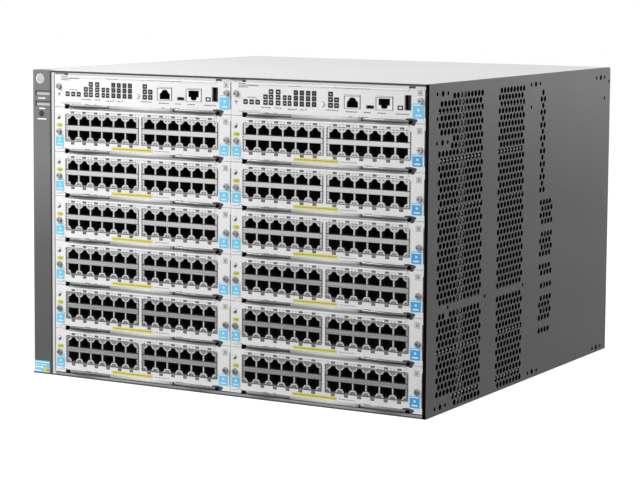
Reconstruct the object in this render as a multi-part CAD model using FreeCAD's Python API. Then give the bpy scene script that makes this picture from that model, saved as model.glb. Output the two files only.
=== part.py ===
import FreeCAD, Part
import math
import os

# Modular chassis switch, seven rack units high, for a nineteen inch rack.
# Millimetres, X to the right seen from the front, Y towards the rear, Z up from the
# surface that the chassis stands on.  The functions measure Y from the face of the
# modules; export() moves each node so that the whole switch is centred on X = Y = 0.
V = FreeCAD.Vector

# ---- clearances --------------------------------------------------------------
SLOT_GAP = 0.4          # between the faces of neighbouring modules
RUN_GAP = 0.3           # between a sliding piece and what carries it
SHEET_GAP = 0.2         # between sheets that are screwed or riveted together
FRAME_GAP = 0.4         # round a jack block in its window

# ---- modules -----------------------------------------------------------------
ROW_PITCH = 44.45       # one rack unit
PORT_ROWS = 6
MANAGEMENT_PITCH = 33.6  # the lower row above the port modules
FACE_T = 1.6
TAB_W = 12.0            # full height ends of a face, outside the lever channels
TOP_NOTCH = 1.5         # how far a face stands below its tabs, at its top
TRAY_T = 1.2
TRAY_INSET = 1.2        # from the side of the face to the edge of the tray
MODULE_DEPTH = 252.0
BOARD_T = 1.6
BOARD_LIFT = 6.5        # from the tray's underside to the board's underside
BOARD_FRONT = 6.0
PLUG_W = 70.0
PLUG_H = 9.0
PLUG_D = 8.0
PLUG_OVERHANG = 6.0     # of the plug behind the board

# ---- jacks -------------------------------------------------------------------
JACKS_PER_ROW = 6
JACK_PITCH = 13.97
JACK_W = 11.9
JACK_BODY_H = 6.6       # straight part of the opening
JACK_KEY_H = 2.9        # part that narrows towards the latch
JACK_KEY_W = 4.4
JACK_DEPTH = 12.0
STRIP_H = 5.7           # shield between the upper and the lower row
STRIP_T = 0.5
BLOCK_RIM_X = 2.4       # block beyond its outer jacks
BLOCK_RIM_Z = 0.8
BLOCK_SETBACK = 0.8     # block's front behind the module's face
BLOCK_DEPTH = 20.0
BLOCK_SPACING = 4.5     # face bar between the two blocks
BLOCK_LEFT = 13.3       # first block from the left side of the face
BLOCK_RIGHT = 15.3      # second block from the right side of the face

# ---- management module --------------------------------------------------------
SERVICE_JACK_IN = 75.6  # from the right side of the face to the first jack, latch up
CONSOLE_JACK_IN = 42.5  # to the second jack, latch down
USB_IN = 18.0
USB_W = 6.2
USB_H = 13.4
MICRO_USB_IN = 56.9
MICRO_USB_W = 7.4
MICRO_USB_H = 2.6
SOCKET_DEPTH = 11.0
MODE_BUTTON_IN = 107.2
MODE_BUTTON_R = 2.0
MODE_BUTTON_L = 4.0
MODE_BUTTON_PROUD = 0.8
MODE_BUTTON_TRAVEL = 0.5
MODE_BUTTON_SIDES = 6
BUTTON_GAP = 0.3
SWITCH_W = 6.0          # switch behind the button
SWITCH_D = 8.0

# ---- extractor levers ----------------------------------------------------------
LEVER_T = 2.6
LEVER_LOW = 0.1         # lever's underside above the line between two rows
LEVER_HEAD = 3.0        # half width of the head round its pivot
LEVER_LENGTH = 46.0
LEVER_BULGE = 4.9       # front of the arm from the pivot
LEVER_BULGE_AT = 18.0
LEVER_TIP_W = 1.8
LEVER_CAM = 5.2         # nose that bears on the slot's edge
PIVOT_IN = 20.0         # pivot from the side of the face
PIVOT_BACK = 2.4        # pivot behind the face

# ---- chassis -------------------------------------------------------------------
SHEET = 1.2
BEZEL_W = 22.4
BEZEL_GROOVE = 2.2
BEZEL_DEPTH = 12.0
BEZEL_WALL = 2.0
BEZEL_EDGE_R = 3.0
BADGE_DROPS = (20.6, 31.1)  # from the top of the bezel to its two badge recesses
BADGE_H = 5.2
BADGE_IN = 4.6
FLANGE = 3.6            # front edges turned in beside the modules
BOTTOM_MARGIN = 4.2
TOP_MARGIN = 2.5
TOP_EDGE_R = 4.0        # bend of the cover at the rear
COVER_LIP = 14.0        # the cover's turned down rear edge
RAIL_INSET = 16.2       # cover's front rail from the side of each face
LEDGE_T = 1.2
LEDGE_FRONT = 12.0
LEDGE_UNDER = 3.5       # how far a ledge reaches under a tray
DIVIDER_T = 1.2
WINDOW_SILL = 9.0       # partition above and below an air window
BACKPLANE_T = 3.0
BACKPLANE_BACK = 14.0   # backplane behind the modules' trays
SOCKET_H = 6.0

# ---- vents and ear holes ---------------------------------------------------------
VENT_FIELDS = ((19.2, 95.6), (149.1, 61.5), (251.5, 31.8))  # start and length
VENT_ROWS = 2           # rows of modules beside one slot
VENT_SILL = 10.0        # panel above and below a slot, within its rows
EAR_HOLE_R = 2.8
EAR_HOLE_Y = 27.7
EAR_HOLE_IN = 9.8       # from the top of the chassis
EAR_HOLE_LOW = 6.6      # from the bottom of the chassis

# ---- fan tray ---------------------------------------------------------------------
FANS = 3
FAN_PITCH = 96.0
DUCT_R = 43.0
DUCT_SIDES = 10
ROTOR_R = 41.0
HUB_R = 17.0
HUB_L = 14.0
BLADES = 5
BLADE_T = 1.6
BLADE_CHORD = 16.0
BLADE_PITCH = 38.0      # degrees from the plane of the fan
BLADE_ROOT = 2.0        # how far a blade runs into the hub
FAN_BLOCK_Y = 20.0
FAN_BLOCK_L = 94.0
STRUT_W = 14.0
STRUT_T = 3.0
TRAY_RAIL_H = 8.0
TRAY_MARGIN = 4.0       # fan tray above the underside of the floor
PLATE_T = 1.5           # rear plates of the fan tray and the power supplies
PLATE_LAP = 0.7         # rear plate over the edge of its bay

# ---- power supplies ---------------------------------------------------------------
PSU_SIDE_ROOM = 8.0     # beside the pair of supplies
PSU_FRONT_ROOM = 8.0    # between the supplies and the backplane
PSU_H = 86.0
PSU_DEPTH = 158.0
PSU_WALL = 1.6
PSU_FOOT = 5.0          # lowest supplies above the floor's underside
SHELF_GAP = 5.0         # between the upper and the lower supplies
INLET_W = 28.0
INLET_H = 20.0
INLET_DEPTH = 14.0
INLET_IN = 34.0         # inlet's centre from the side of its supply
HANDLE_REACH = 13.0
HANDLE_BAR = 4.0
HANDLE_W = 70.0
HANDLE_DROP = 12.0      # supply's handle below the top of its plate
RUNNER_W = 6.0

# ---- places that follow --------------------------------------------------------------
BLOCK_W = (JACKS_PER_ROW - 1) * JACK_PITCH + JACK_W + 2 * BLOCK_RIM_X
MODULE_W = BLOCK_LEFT + 2 * BLOCK_W + BLOCK_SPACING + BLOCK_RIGHT
COLUMN_PITCH = MODULE_W + SLOT_GAP
BACKPLANE_Y = MODULE_DEPTH + BACKPLANE_BACK
BODY_DEPTH = BACKPLANE_Y + BACKPLANE_T + PSU_FRONT_ROOM + PSU_DEPTH
BODY_W = BEZEL_W + BEZEL_GROOVE + 2 * FLANGE + 2 * COLUMN_PITCH
BODY_H = BOTTOM_MARGIN + PORT_ROWS * ROW_PITCH + MANAGEMENT_PITCH + TOP_MARGIN
LEFT = -BODY_W / 2
RIGHT = BODY_W / 2
PARTITION_X = LEFT + BEZEL_W + BEZEL_GROOVE
COLUMNS_LEFT = PARTITION_X + FLANGE
DIVIDER_X = COLUMNS_LEFT + COLUMN_PITCH
INSIDE_LEFT = LEFT + SHEET + SHEET_GAP
INSIDE_RIGHT = RIGHT - SHEET - SHEET_GAP
INSIDE_TOP = BODY_H - SHEET
REAR_WALL_TOP = BODY_H - COVER_LIP - SHEET_GAP
TRAY_Z = LEVER_LOW + LEVER_T + SLOT_GAP
LEDGE_Z = TRAY_Z - RUN_GAP - LEDGE_T
BOARD_Z = TRAY_Z + BOARD_LIFT
BLOCK_H = STRIP_H + 2 * (JACK_BODY_H + JACK_KEY_H + BLOCK_RIM_Z)
BLOCK_Z = BOARD_Z + BOARD_T
PSU_ZONE = (PARTITION_X + SHEET, INSIDE_RIGHT)
PSU_W = (PSU_ZONE[1] - PSU_ZONE[0] - SHEET) / 2 - RUN_GAP - PSU_SIDE_ROOM
REAR_REACH = RUN_GAP + PLATE_T + HANDLE_REACH
FRONT_REACH = LEVER_BULGE - PIVOT_BACK
FRONT_Y = (FRONT_REACH - BODY_DEPTH - REAR_REACH) / 2
PORT_SLOTS = "abcdefghijkl"


def block(x, y, z):
    """Box between the two values of each pair."""
    return Part.makeBox(x[1] - x[0], y[1] - y[0], z[1] - z[0], V(x[0], y[0], z[0]))


def front_prism(points, y):
    """Outline of (x, z) points, carried from y[0] to y[1]."""
    corners = [V(px, y[0], pz) for px, pz in points]
    face = Part.Face(Part.makePolygon(corners + corners[:1]))
    return face.extrude(V(0, y[1] - y[0], 0))


def rear_profile(points, x):
    """Outline of (y, z) points, carried from x[0] to x[1]."""
    corners = [V(x[0], py, pz) for py, pz in points]
    face = Part.Face(Part.makePolygon(corners + corners[:1]))
    return face.extrude(V(x[1] - x[0], 0, 0))


def plan_prism(points, z):
    """Outline of (x, y) points, carried from z[0] to z[1]."""
    corners = [V(px, py, z[0]) for px, py in points]
    face = Part.Face(Part.makePolygon(corners + corners[:1]))
    return face.extrude(V(0, 0, z[1] - z[0]))


def cylinder_along_x(radius, x, y, z):
    return Part.makeCylinder(radius, x[1] - x[0], V(x[0], y, z), V(1, 0, 0))


def polygon_points(sides, flat_radius, first, second):
    """Corners of a regular polygon that fits round a circle of flat_radius."""
    corner = flat_radius / math.cos(math.pi / sides)
    turns = [2 * math.pi * (number + 0.5) / sides for number in range(sides)]
    return [(first + corner * math.cos(turn), second + corner * math.sin(turn)) for turn in turns]


def join(solids):
    return solids[0].multiFuse(solids[1:]).removeSplitter()


def less(solid, tools):
    return solid.cut(Part.makeCompound(tools))


def round_edges(solid, radius, chosen):
    """Rounds the straight edges for which chosen(middle, direction) holds."""
    edges = []
    for edge in solid.Edges:
        along = edge.tangentAt(edge.FirstParameter)
        if chosen(edge.CenterOfMass, along):
            edges.append(edge)
    return solid.makeFillet(radius, edges)


# ---- what every module has ---------------------------------------------------------
def face_outline(left, low, pitch):
    """Face with full height tabs, lower and higher edges between them."""
    right = left + MODULE_W
    bottom = low + SLOT_GAP / 2
    top = low + pitch - SLOT_GAP / 2
    notch_low = low + TRAY_Z
    notch_high = low + pitch - TOP_NOTCH
    inner = (left + TAB_W, right - TAB_W)
    return [
        (left, bottom), (inner[0], bottom), (inner[0], notch_low), (inner[1], notch_low),
        (inner[1], bottom), (right, bottom), (right, top), (inner[1], top),
        (inner[1], notch_high), (inner[0], notch_high), (inner[0], top), (left, top),
    ]


def face_and_tray(left, low, pitch, windows):
    """Face with its windows, and the tray with upright sides that is screwed to its back."""
    face = less(front_prism(face_outline(left, low, pitch), (0, FACE_T)), windows)
    tray_x = (left + TRAY_INSET, left + MODULE_W - TRAY_INSET)
    base = low + TRAY_Z
    flange = base + BOARD_LIFT
    profile = [
        (tray_x[0], base), (tray_x[1], base), (tray_x[1], flange),
        (tray_x[1] - TRAY_T, flange), (tray_x[1] - TRAY_T, base + TRAY_T),
        (tray_x[0] + TRAY_T, base + TRAY_T), (tray_x[0] + TRAY_T, flange), (tray_x[0], flange),
    ]
    return [face, front_prism(profile, (FACE_T + SHEET_GAP, MODULE_DEPTH))]


def board_and_plug(left, low):
    """Circuit board on the tray's upright sides, with the plug for the backplane."""
    x = (left + TRAY_INSET, left + MODULE_W - TRAY_INSET)
    z = low + BOARD_Z
    board = block(x, (BOARD_FRONT, MODULE_DEPTH), (z, z + BOARD_T))
    middle = left + MODULE_W / 2
    plug_y = (MODULE_DEPTH + PLUG_OVERHANG - PLUG_D, MODULE_DEPTH + PLUG_OVERHANG)
    plug = block((middle - PLUG_W / 2, middle + PLUG_W / 2), plug_y, (z + BOARD_T, z + BOARD_T + PLUG_H))
    return [board, plug]


def lever(left, low, side):
    """Cast extractor lever: head on the pivot, a nose behind it and a tapering arm."""
    turn = 1 if side == "left" else -1
    pivot = V(left + PIVOT_IN if turn > 0 else left + MODULE_W - PIVOT_IN, PIVOT_BACK, low + LEVER_LOW)

    def at(x, y):
        return pivot + V(turn * x, y, 0)

    corners = [
        at(-LEVER_HEAD, LEVER_CAM), at(-LEVER_HEAD, -LEVER_HEAD / 2), at(-LEVER_HEAD / 2, -LEVER_HEAD),
        at(LEVER_BULGE_AT, -LEVER_BULGE), at(LEVER_LENGTH - LEVER_TIP_W, -LEVER_TIP_W),
        at(LEVER_LENGTH, 0), at(LEVER_HEAD, LEVER_HEAD),
    ]
    outline = Part.makePolygon(corners + corners[:1])
    return Part.Face(outline).extrude(V(0, 0, LEVER_T))


# ---- port module ---------------------------------------------------------------------
def jack_column(middle, low):
    """Opening over an upper and a lower jack, narrowing to the latch at both ends."""
    centre = low + BLOCK_Z + BLOCK_H / 2
    body = STRIP_H / 2 + JACK_BODY_H
    tip = body + JACK_KEY_H
    half, key = JACK_W / 2, JACK_KEY_W / 2
    return [
        (middle - half, centre - body), (middle - key, centre - tip),
        (middle + key, centre - tip), (middle + half, centre - body),
        (middle + half, centre + body), (middle + key, centre + tip),
        (middle - key, centre + tip), (middle - half, centre + body),
    ]


def jack_block(left, low):
    """Shielded block of six stacked pairs of jacks, and the strip across its middle."""
    z = (low + BLOCK_Z, low + BLOCK_Z + BLOCK_H)
    body = block((left, left + BLOCK_W), (BLOCK_SETBACK, BLOCK_SETBACK + BLOCK_DEPTH), z)
    first = left + BLOCK_RIM_X + JACK_W / 2
    columns = []
    for number in range(JACKS_PER_ROW):
        outline = jack_column(first + number * JACK_PITCH, low)
        columns.append(front_prism(outline, (BLOCK_SETBACK, BLOCK_SETBACK + JACK_DEPTH)))
    centre = low + BLOCK_Z + BLOCK_H / 2
    strip_y = (BLOCK_SETBACK - STRIP_T, BLOCK_SETBACK)
    strip = block((left, left + BLOCK_W), strip_y, (centre - STRIP_H / 2, centre + STRIP_H / 2))
    return [less(body, columns), strip]


def block_window(x, z):
    """Window in a face round a block of the given width and height."""
    return block(
        (x[0] - FRAME_GAP, x[1] + FRAME_GAP), (-FACE_T, 2 * FACE_T), (z[0] - FRAME_GAP, z[1] + FRAME_GAP)
    )


def port_module(left, low):
    z = (low + BLOCK_Z, low + BLOCK_Z + BLOCK_H)
    solids, windows = [], []
    for number in range(2):
        start = left + BLOCK_LEFT + number * (BLOCK_W + BLOCK_SPACING)
        solids += jack_block(start, low)
        windows.append(block_window((start, start + BLOCK_W), z))
    return face_and_tray(left, low, ROW_PITCH, windows) + solids + board_and_plug(left, low)


# ---- management module -----------------------------------------------------------------
def single_jack(middle, low, up):
    """One jack in its shield, latch up or down."""
    height = JACK_BODY_H + JACK_KEY_H
    z = (low + BLOCK_Z, low + BLOCK_Z + height + 2 * BLOCK_RIM_Z)
    x = (middle - JACK_W / 2 - BLOCK_RIM_X, middle + JACK_W / 2 + BLOCK_RIM_X)
    body = block(x, (BLOCK_SETBACK, BLOCK_SETBACK + BLOCK_DEPTH), z)
    wide, shoulder, tip = z[0] + BLOCK_RIM_Z, z[0] + BLOCK_RIM_Z + JACK_BODY_H, z[1] - BLOCK_RIM_Z
    if not up:
        wide, shoulder, tip = z[0] + z[1] - wide, z[0] + z[1] - shoulder, z[0] + z[1] - tip
    half, key = JACK_W / 2, JACK_KEY_W / 2
    outline = [
        (middle - half, wide), (middle + half, wide), (middle + half, shoulder),
        (middle + key, tip), (middle - key, tip), (middle - half, shoulder),
    ]
    opening = front_prism(outline, (BLOCK_SETBACK, BLOCK_SETBACK + JACK_DEPTH))
    return less(body, [opening]), block_window(x, z)


def socket(middle, low, width, height):
    """Small socket behind the face, standing on the board."""
    z = (low + BLOCK_Z, low + BLOCK_Z + height + 2 * BLOCK_RIM_Z)
    opening_z = (z[0] + BLOCK_RIM_Z, z[1] - BLOCK_RIM_Z)
    x = (middle - width / 2, middle + width / 2)
    y = (FACE_T + SHEET_GAP, FACE_T + SHEET_GAP + SOCKET_DEPTH)
    body = block((x[0] - BLOCK_RIM_Z, x[1] + BLOCK_RIM_Z), y, z)
    opening = block(x, (y[0], y[1] - BLOCK_RIM_Z), opening_z)
    return less(body, [opening]), block(x, (-FACE_T, 2 * FACE_T), opening_z)


def mode_button_place(left, low):
    return left + MODULE_W - MODE_BUTTON_IN, low + BLOCK_Z + BLOCK_RIM_Z + MODE_BUTTON_R


def mode_button(left, low):
    x, z = mode_button_place(left, low)
    outline = polygon_points(MODE_BUTTON_SIDES, MODE_BUTTON_R, x, z)
    return front_prism(outline, (-MODE_BUTTON_PROUD, MODE_BUTTON_L - MODE_BUTTON_PROUD))


def management_module(left, low):
    x, z = mode_button_place(left, low)
    outline = polygon_points(MODE_BUTTON_SIDES, MODE_BUTTON_R + BUTTON_GAP, x, z)
    hole = front_prism(outline, (-FACE_T, 2 * FACE_T))
    right = left + MODULE_W
    pairs = [
        single_jack(right - SERVICE_JACK_IN, low, True),
        single_jack(right - CONSOLE_JACK_IN, low, False),
        socket(right - USB_IN, low, USB_W, USB_H),
        socket(right - MICRO_USB_IN, low, MICRO_USB_W, MICRO_USB_H),
    ]
    windows = [window for body, window in pairs] + [hole]
    switch_y = MODE_BUTTON_L - MODE_BUTTON_PROUD + MODE_BUTTON_TRAVEL + BUTTON_GAP
    switch_z = (low + BLOCK_Z, z + MODE_BUTTON_R)
    switch = block((x - SWITCH_W / 2, x + SWITCH_W / 2), (switch_y, switch_y + SWITCH_D), switch_z)
    bodies = [body for body, window in pairs] + [switch]
    return face_and_tray(left, low, MANAGEMENT_PITCH, windows) + bodies + board_and_plug(left, low)


# ---- chassis sheets -----------------------------------------------------------------------
def slots():
    """Every slot as (name, left side of its face, lower line, pitch)."""
    found = []
    for number, letter in enumerate(PORT_SLOTS):
        row, column = divmod(number, 2)
        low = BOTTOM_MARGIN + (PORT_ROWS - 1 - row) * ROW_PITCH
        found.append(("port_module_" + letter, slot_left(column), low, ROW_PITCH))
    top_row = BOTTOM_MARGIN + PORT_ROWS * ROW_PITCH
    for column in range(2):
        name = "management_module_" + str(column + 1)
        found.append((name, slot_left(column), top_row, MANAGEMENT_PITCH))
    return found


def slot_left(column):
    return COLUMNS_LEFT + column * COLUMN_PITCH + SLOT_GAP / 2


def row_lines():
    return [BOTTOM_MARGIN + row * ROW_PITCH for row in range(PORT_ROWS + 1)]


def ledges(x):
    """One ledge under the edge of every module's tray."""
    y = (LEDGE_FRONT, MODULE_DEPTH)
    return [block(x, y, (low + LEDGE_Z, low + LEDGE_Z + LEDGE_T)) for low in row_lines()]


def vent_slots(x):
    """Tall slots in each vent field, beside the port modules."""
    tools = []
    for start, length in VENT_FIELDS:
        for low in row_lines()[:PORT_ROWS:VENT_ROWS]:
            z = (low + VENT_SILL, low + VENT_ROWS * ROW_PITCH - VENT_SILL)
            tools.append(block(x, (start, start + length), z))
    return tools


def ear_holes(x):
    """Holes for the rack ears, one near the top and one near the bottom."""
    heights = (EAR_HOLE_LOW, BODY_H - EAR_HOLE_IN)
    return [cylinder_along_x(EAR_HOLE_R, x, EAR_HOLE_Y, z) for z in heights]


def rounded_at_rear(solid, radius):
    """Rounds the upper rear corner, where the cover bends down."""
    box = solid.BoundBox

    def chosen(middle, along):
        return abs(along.x) > 0.99 and middle.y > box.YMax - 0.01 and middle.z > box.ZMax - 0.01

    return round_edges(solid, radius, chosen)


def right_side_panel():
    wall = rounded_at_rear(block((RIGHT - SHEET, RIGHT), (0, BODY_DEPTH), (0, BODY_H)), TOP_EDGE_R)
    flange = block((RIGHT - FLANGE, RIGHT), (0, SHEET), (SHEET + SHEET_GAP, INSIDE_TOP - SHEET_GAP))
    tray_edge = slot_left(1) + MODULE_W - TRAY_INSET
    panel = join([wall, flange] + ledges((tray_edge - LEDGE_UNDER, RIGHT - SHEET)))
    through = (RIGHT - 2 * SHEET, RIGHT + SHEET)
    return [less(panel, vent_slots((RIGHT - SHEET, RIGHT)) + ear_holes(through))]


def left_side_panel():
    start = BEZEL_DEPTH + SHEET_GAP
    wall = rounded_at_rear(block((LEFT, LEFT + SHEET), (start, BODY_DEPTH), (0, BODY_H)), TOP_EDGE_R)
    through = (LEFT - SHEET, LEFT + 2 * SHEET)
    return [less(wall, vent_slots(through) + ear_holes(through))]


def bezel_notch():
    """Room for the bezel at the front corner of the floor and the cover."""
    x = (LEFT, LEFT + BEZEL_W + SHEET_GAP)
    return block(x, (-SHEET, BEZEL_DEPTH + SHEET_GAP), (-SHEET, BODY_H + SHEET))


def top_cover():
    """Cover with a rail between the levers' notches in front and a lip bent down at the rear."""
    x = (INSIDE_LEFT, INSIDE_RIGHT)
    low = BODY_H - COVER_LIP
    outer = rounded_at_rear(block(x, (0, BODY_DEPTH), (low, BODY_H)), TOP_EDGE_R)
    inner = rounded_at_rear(
        block(x, (SHEET, BODY_DEPTH - SHEET), (low - SHEET, BODY_H - SHEET)), TOP_EDGE_R - SHEET
    )
    tab_top = BODY_H - TOP_MARGIN + SLOT_GAP / 2
    rail_low = BODY_H - TOP_MARGIN - TOP_NOTCH + SLOT_GAP
    front = (-SHEET, SHEET)
    tools = [inner, bezel_notch()]
    tools.append(block((LEFT, COLUMNS_LEFT + SHEET_GAP), front, (low - SHEET, BODY_H - SHEET)))
    tools.append(block((RIGHT - FLANGE - SHEET_GAP, RIGHT), front, (low - SHEET, BODY_H - SHEET)))
    edges = [COLUMNS_LEFT]
    for column in range(2):
        edges += [slot_left(column) + RAIL_INSET, slot_left(column) + MODULE_W - RAIL_INSET]
    edges.append(RIGHT - FLANGE)
    for start, end in zip(edges[0::2], edges[1::2]):
        tools.append(block((start, end), front, (low - SHEET, tab_top)))
    tools.append(block((COLUMNS_LEFT, RIGHT - FLANGE), front, (low - SHEET, rail_low)))
    return [less(outer, tools)]


def psu_places():
    """Lower left corner of every power supply, seen from the front."""
    middle = (PSU_ZONE[0] + PSU_ZONE[1]) / 2
    lefts = (middle - SHEET / 2 - RUN_GAP - PSU_W, middle + SHEET / 2 + RUN_GAP)
    return [(x, PSU_FOOT + row * (PSU_H + SHELF_GAP)) for row in range(2) for x in lefts]


def bay(x, z):
    """Opening in the rear wall that lets a sliding unit through."""
    y = (BODY_DEPTH - 2 * SHEET, BODY_DEPTH + SHEET)
    return block((x[0] - RUN_GAP, x[1] + RUN_GAP), y, (z[0] - RUN_GAP, z[1] + RUN_GAP))


def fan_tray_span():
    """Width and height of the fan tray, which passes under the cover's rear lip."""
    x = (LEFT + SHEET + 2 * RUN_GAP, PARTITION_X - 2 * RUN_GAP)
    return x, (TRAY_MARGIN, REAR_WALL_TOP - RUN_GAP)


def base_pan():
    """Floor, front edge and rear wall, with the bays and the shelves that carry the supplies."""
    x = (INSIDE_LEFT, INSIDE_RIGHT)
    floor = block(x, (0, BODY_DEPTH), (0, SHEET))
    front_x = (COLUMNS_LEFT + SHEET_GAP, RIGHT - FLANGE - SHEET_GAP)
    front = block(front_x, (0, SHEET), (0, BOTTOM_MARGIN - TOP_NOTCH))
    wall = block(x, (BODY_DEPTH - SHEET, BODY_DEPTH), (0, REAR_WALL_TOP))
    places = psu_places()
    shelf_x = (PARTITION_X + SHEET + SHEET_GAP, INSIDE_RIGHT)
    shelf_y = (BODY_DEPTH - PSU_DEPTH, BODY_DEPTH)
    shelf_top = places[2][1] - RUN_GAP
    shelf = block(shelf_x, shelf_y, (shelf_top - SHEET, shelf_top))
    lid_low = places[2][1] + PSU_H + RUN_GAP
    lid = block(shelf_x, shelf_y, (lid_low, lid_low + SHEET))
    post_x = (places[1][0] - RUN_GAP - SHEET, places[1][0] - RUN_GAP)
    post = block(post_x, shelf_y, (0, lid_low + SHEET))
    runners = []
    for left, low in places[:2]:
        for start in (left, left + PSU_W - RUNNER_W):
            runners.append(block((start, start + RUNNER_W), shelf_y, (0, low - RUN_GAP)))
    tray_x, tray_z = fan_tray_span()
    runner_y = (FAN_BLOCK_Y, BODY_DEPTH)
    runners.append(block((tray_x[0], tray_x[0] + RUNNER_W), runner_y, (0, tray_z[0] - RUN_GAP)))
    pan = join([floor, front, wall, shelf, lid, post] + runners)
    bays = [bay((left, left + PSU_W), (low, low + PSU_H)) for left, low in places]
    bays.append(bay((tray_x[0] - SHEET, tray_x[1]), (tray_z[0], REAR_WALL_TOP)))
    return [less(pan, bays + [bezel_notch()])]


def partition_windows():
    """Air windows beside the modules, in every second row."""
    x = (PARTITION_X - SHEET, PARTITION_X + 2 * SHEET)
    y = (FAN_BLOCK_Y, FAN_BLOCK_Y + FAN_BLOCK_L)
    rows = row_lines()[:-1:2]
    return [block(x, y, (low + WINDOW_SILL, low + ROW_PITCH - WINDOW_SILL)) for low in rows]


def fan_partition():
    z = (SHEET + SHEET_GAP, INSIDE_TOP - SHEET_GAP)
    wall = block((PARTITION_X, PARTITION_X + SHEET), (0, BODY_DEPTH - TOP_EDGE_R), z)
    flange = block((PARTITION_X, PARTITION_X + FLANGE), (0, SHEET), z)
    reach = slot_left(0) + TRAY_INSET + LEDGE_UNDER
    wall = join([wall, flange] + ledges((PARTITION_X + SHEET, reach)))
    return [less(wall, partition_windows())]


def centre_divider():
    z = (SHEET + SHEET_GAP, INSIDE_TOP - SHEET_GAP)
    x = (DIVIDER_X - DIVIDER_T / 2, DIVIDER_X + DIVIDER_T / 2)
    wall = block(x, (FACE_T + RUN_GAP, BACKPLANE_Y), z)
    reach = SLOT_GAP / 2 + TRAY_INSET + LEDGE_UNDER
    return [join([wall] + ledges((DIVIDER_X - reach, DIVIDER_X + reach)))]


def backplane():
    """Board across the chassis behind the modules, with one socket for each."""
    x = (PARTITION_X + SHEET + SHEET_GAP, RIGHT - SHEET - SHEET_GAP)
    y = (BACKPLANE_Y, BACKPLANE_Y + BACKPLANE_T)
    solids = [block(x, y, (SHEET + SHEET_GAP, INSIDE_TOP - SHEET_GAP))]
    socket_y = (MODULE_DEPTH + PLUG_OVERHANG + RUN_GAP, BACKPLANE_Y)
    for name, left, low, pitch in slots():
        middle = left + MODULE_W / 2
        z = low + BOARD_Z + BOARD_T
        solids.append(block((middle - PLUG_W / 2, middle + PLUG_W / 2), socket_y, (z, z + SOCKET_H)))
    return solids


def front_bezel():
    """Moulded bezel over the fan side: a rounded shell with two badge recesses."""
    x = (LEFT, LEFT + BEZEL_W)
    shell = block(x, (0, BEZEL_DEPTH), (0, BODY_H))

    def chosen(middle, along):
        return abs(along.z) > 0.99 and middle.x < LEFT + 0.01 and middle.y < 0.01

    shell = round_edges(shell, BEZEL_EDGE_R, chosen)
    hollow_x = (x[0] + BEZEL_WALL, x[1] - BEZEL_WALL)
    hollow = block(hollow_x, (2 * BEZEL_WALL, BEZEL_DEPTH), (BEZEL_WALL, BODY_H - BEZEL_WALL))
    tools = [hollow]
    for drop in BADGE_DROPS:
        top = BODY_H - drop
        tools.append(block((LEFT + BADGE_IN, x[1]), (0, BEZEL_WALL / 2), (top - BADGE_H, top)))
    return [less(shell, tools)]


# ---- fan tray -------------------------------------------------------------------------------
def fan_centres():
    x, z = fan_tray_span()
    middle = (z[0] + z[1]) / 2
    return [middle + (number - (FANS - 1) / 2) * FAN_PITCH for number in range(FANS)]


def pull_handle(middle, y):
    """Outline of a bar bent into a bracket behind a rear plate, as (across, y) points."""
    low, high = middle - HANDLE_W / 2, middle + HANDLE_W / 2
    out = y + HANDLE_REACH
    return [
        (low, y), (low, out), (high, out), (high, y), (high - HANDLE_BAR, y),
        (high - HANDLE_BAR, out - HANDLE_BAR), (low + HANDLE_BAR, out - HANDLE_BAR), (low + HANDLE_BAR, y),
    ]


def rear_plate(x, z):
    """Plate of a unit of the given width and height, lapping over the edge of its bay."""
    y = (BODY_DEPTH + RUN_GAP, BODY_DEPTH + RUN_GAP + PLATE_T)
    return block((x[0] - PLATE_LAP, x[1] + PLATE_LAP), y, (z[0] - PLATE_LAP, z[1] + PLATE_LAP))


def fan_tray():
    """Three ducts one above another, with rails back to the plate at the rear."""
    x, z = fan_tray_span()
    y = (FAN_BLOCK_Y, FAN_BLOCK_Y + FAN_BLOCK_L)
    middle_y = (y[0] + y[1]) / 2
    housing = block(x, y, z)
    ducts, struts = [], []
    for centre in fan_centres():
        ducts.append(rear_profile(polygon_points(DUCT_SIDES, DUCT_R, middle_y, centre), x))
        strut_z = (centre - STRUT_W / 2, centre + STRUT_W / 2)
        struts.append(block((x[0], x[0] + STRUT_T), y, strut_z))
    plate_y = BODY_DEPTH + RUN_GAP
    rails = [
        block(x, (y[1], plate_y), (z[0], z[0] + TRAY_RAIL_H)),
        block(x, (y[1], plate_y), (z[1] - TRAY_RAIL_H, z[1])),
    ]
    plate = rear_plate(x, z)
    outline = pull_handle((z[0] + z[1]) / 2, plate_y + PLATE_T)
    centre_x = (x[0] + x[1]) / 2
    upright = [(py, pz) for pz, py in outline]
    handle = rear_profile(upright, (centre_x - HANDLE_BAR / 2, centre_x + HANDLE_BAR / 2))
    return [join([less(housing, ducts)] + struts + rails + [plate, handle])]


def rotor(centre):
    """Hub and pitched blades of one fan."""
    x, z = fan_tray_span()
    start = x[0] + STRUT_T + RUN_GAP
    middle_y = FAN_BLOCK_Y + FAN_BLOCK_L / 2
    hub = rear_profile(polygon_points(2 * BLADES, HUB_R, middle_y, centre), (start, start + HUB_L))
    pieces = [hub]
    axis_point = V(start + HUB_L / 2, middle_y, centre)
    for number in range(BLADES):
        thick, chord = (-BLADE_T / 2, BLADE_T / 2), (-BLADE_CHORD / 2, BLADE_CHORD / 2)
        blade = block(thick, chord, (HUB_R - BLADE_ROOT, ROTOR_R))
        blade.rotate(V(0, 0, 0), V(0, 0, 1), 90 - BLADE_PITCH)
        blade.translate(axis_point)
        blade.rotate(axis_point, V(1, 0, 0), number * 360 / BLADES)
        pieces.append(blade)
    return [join(pieces)]


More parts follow.
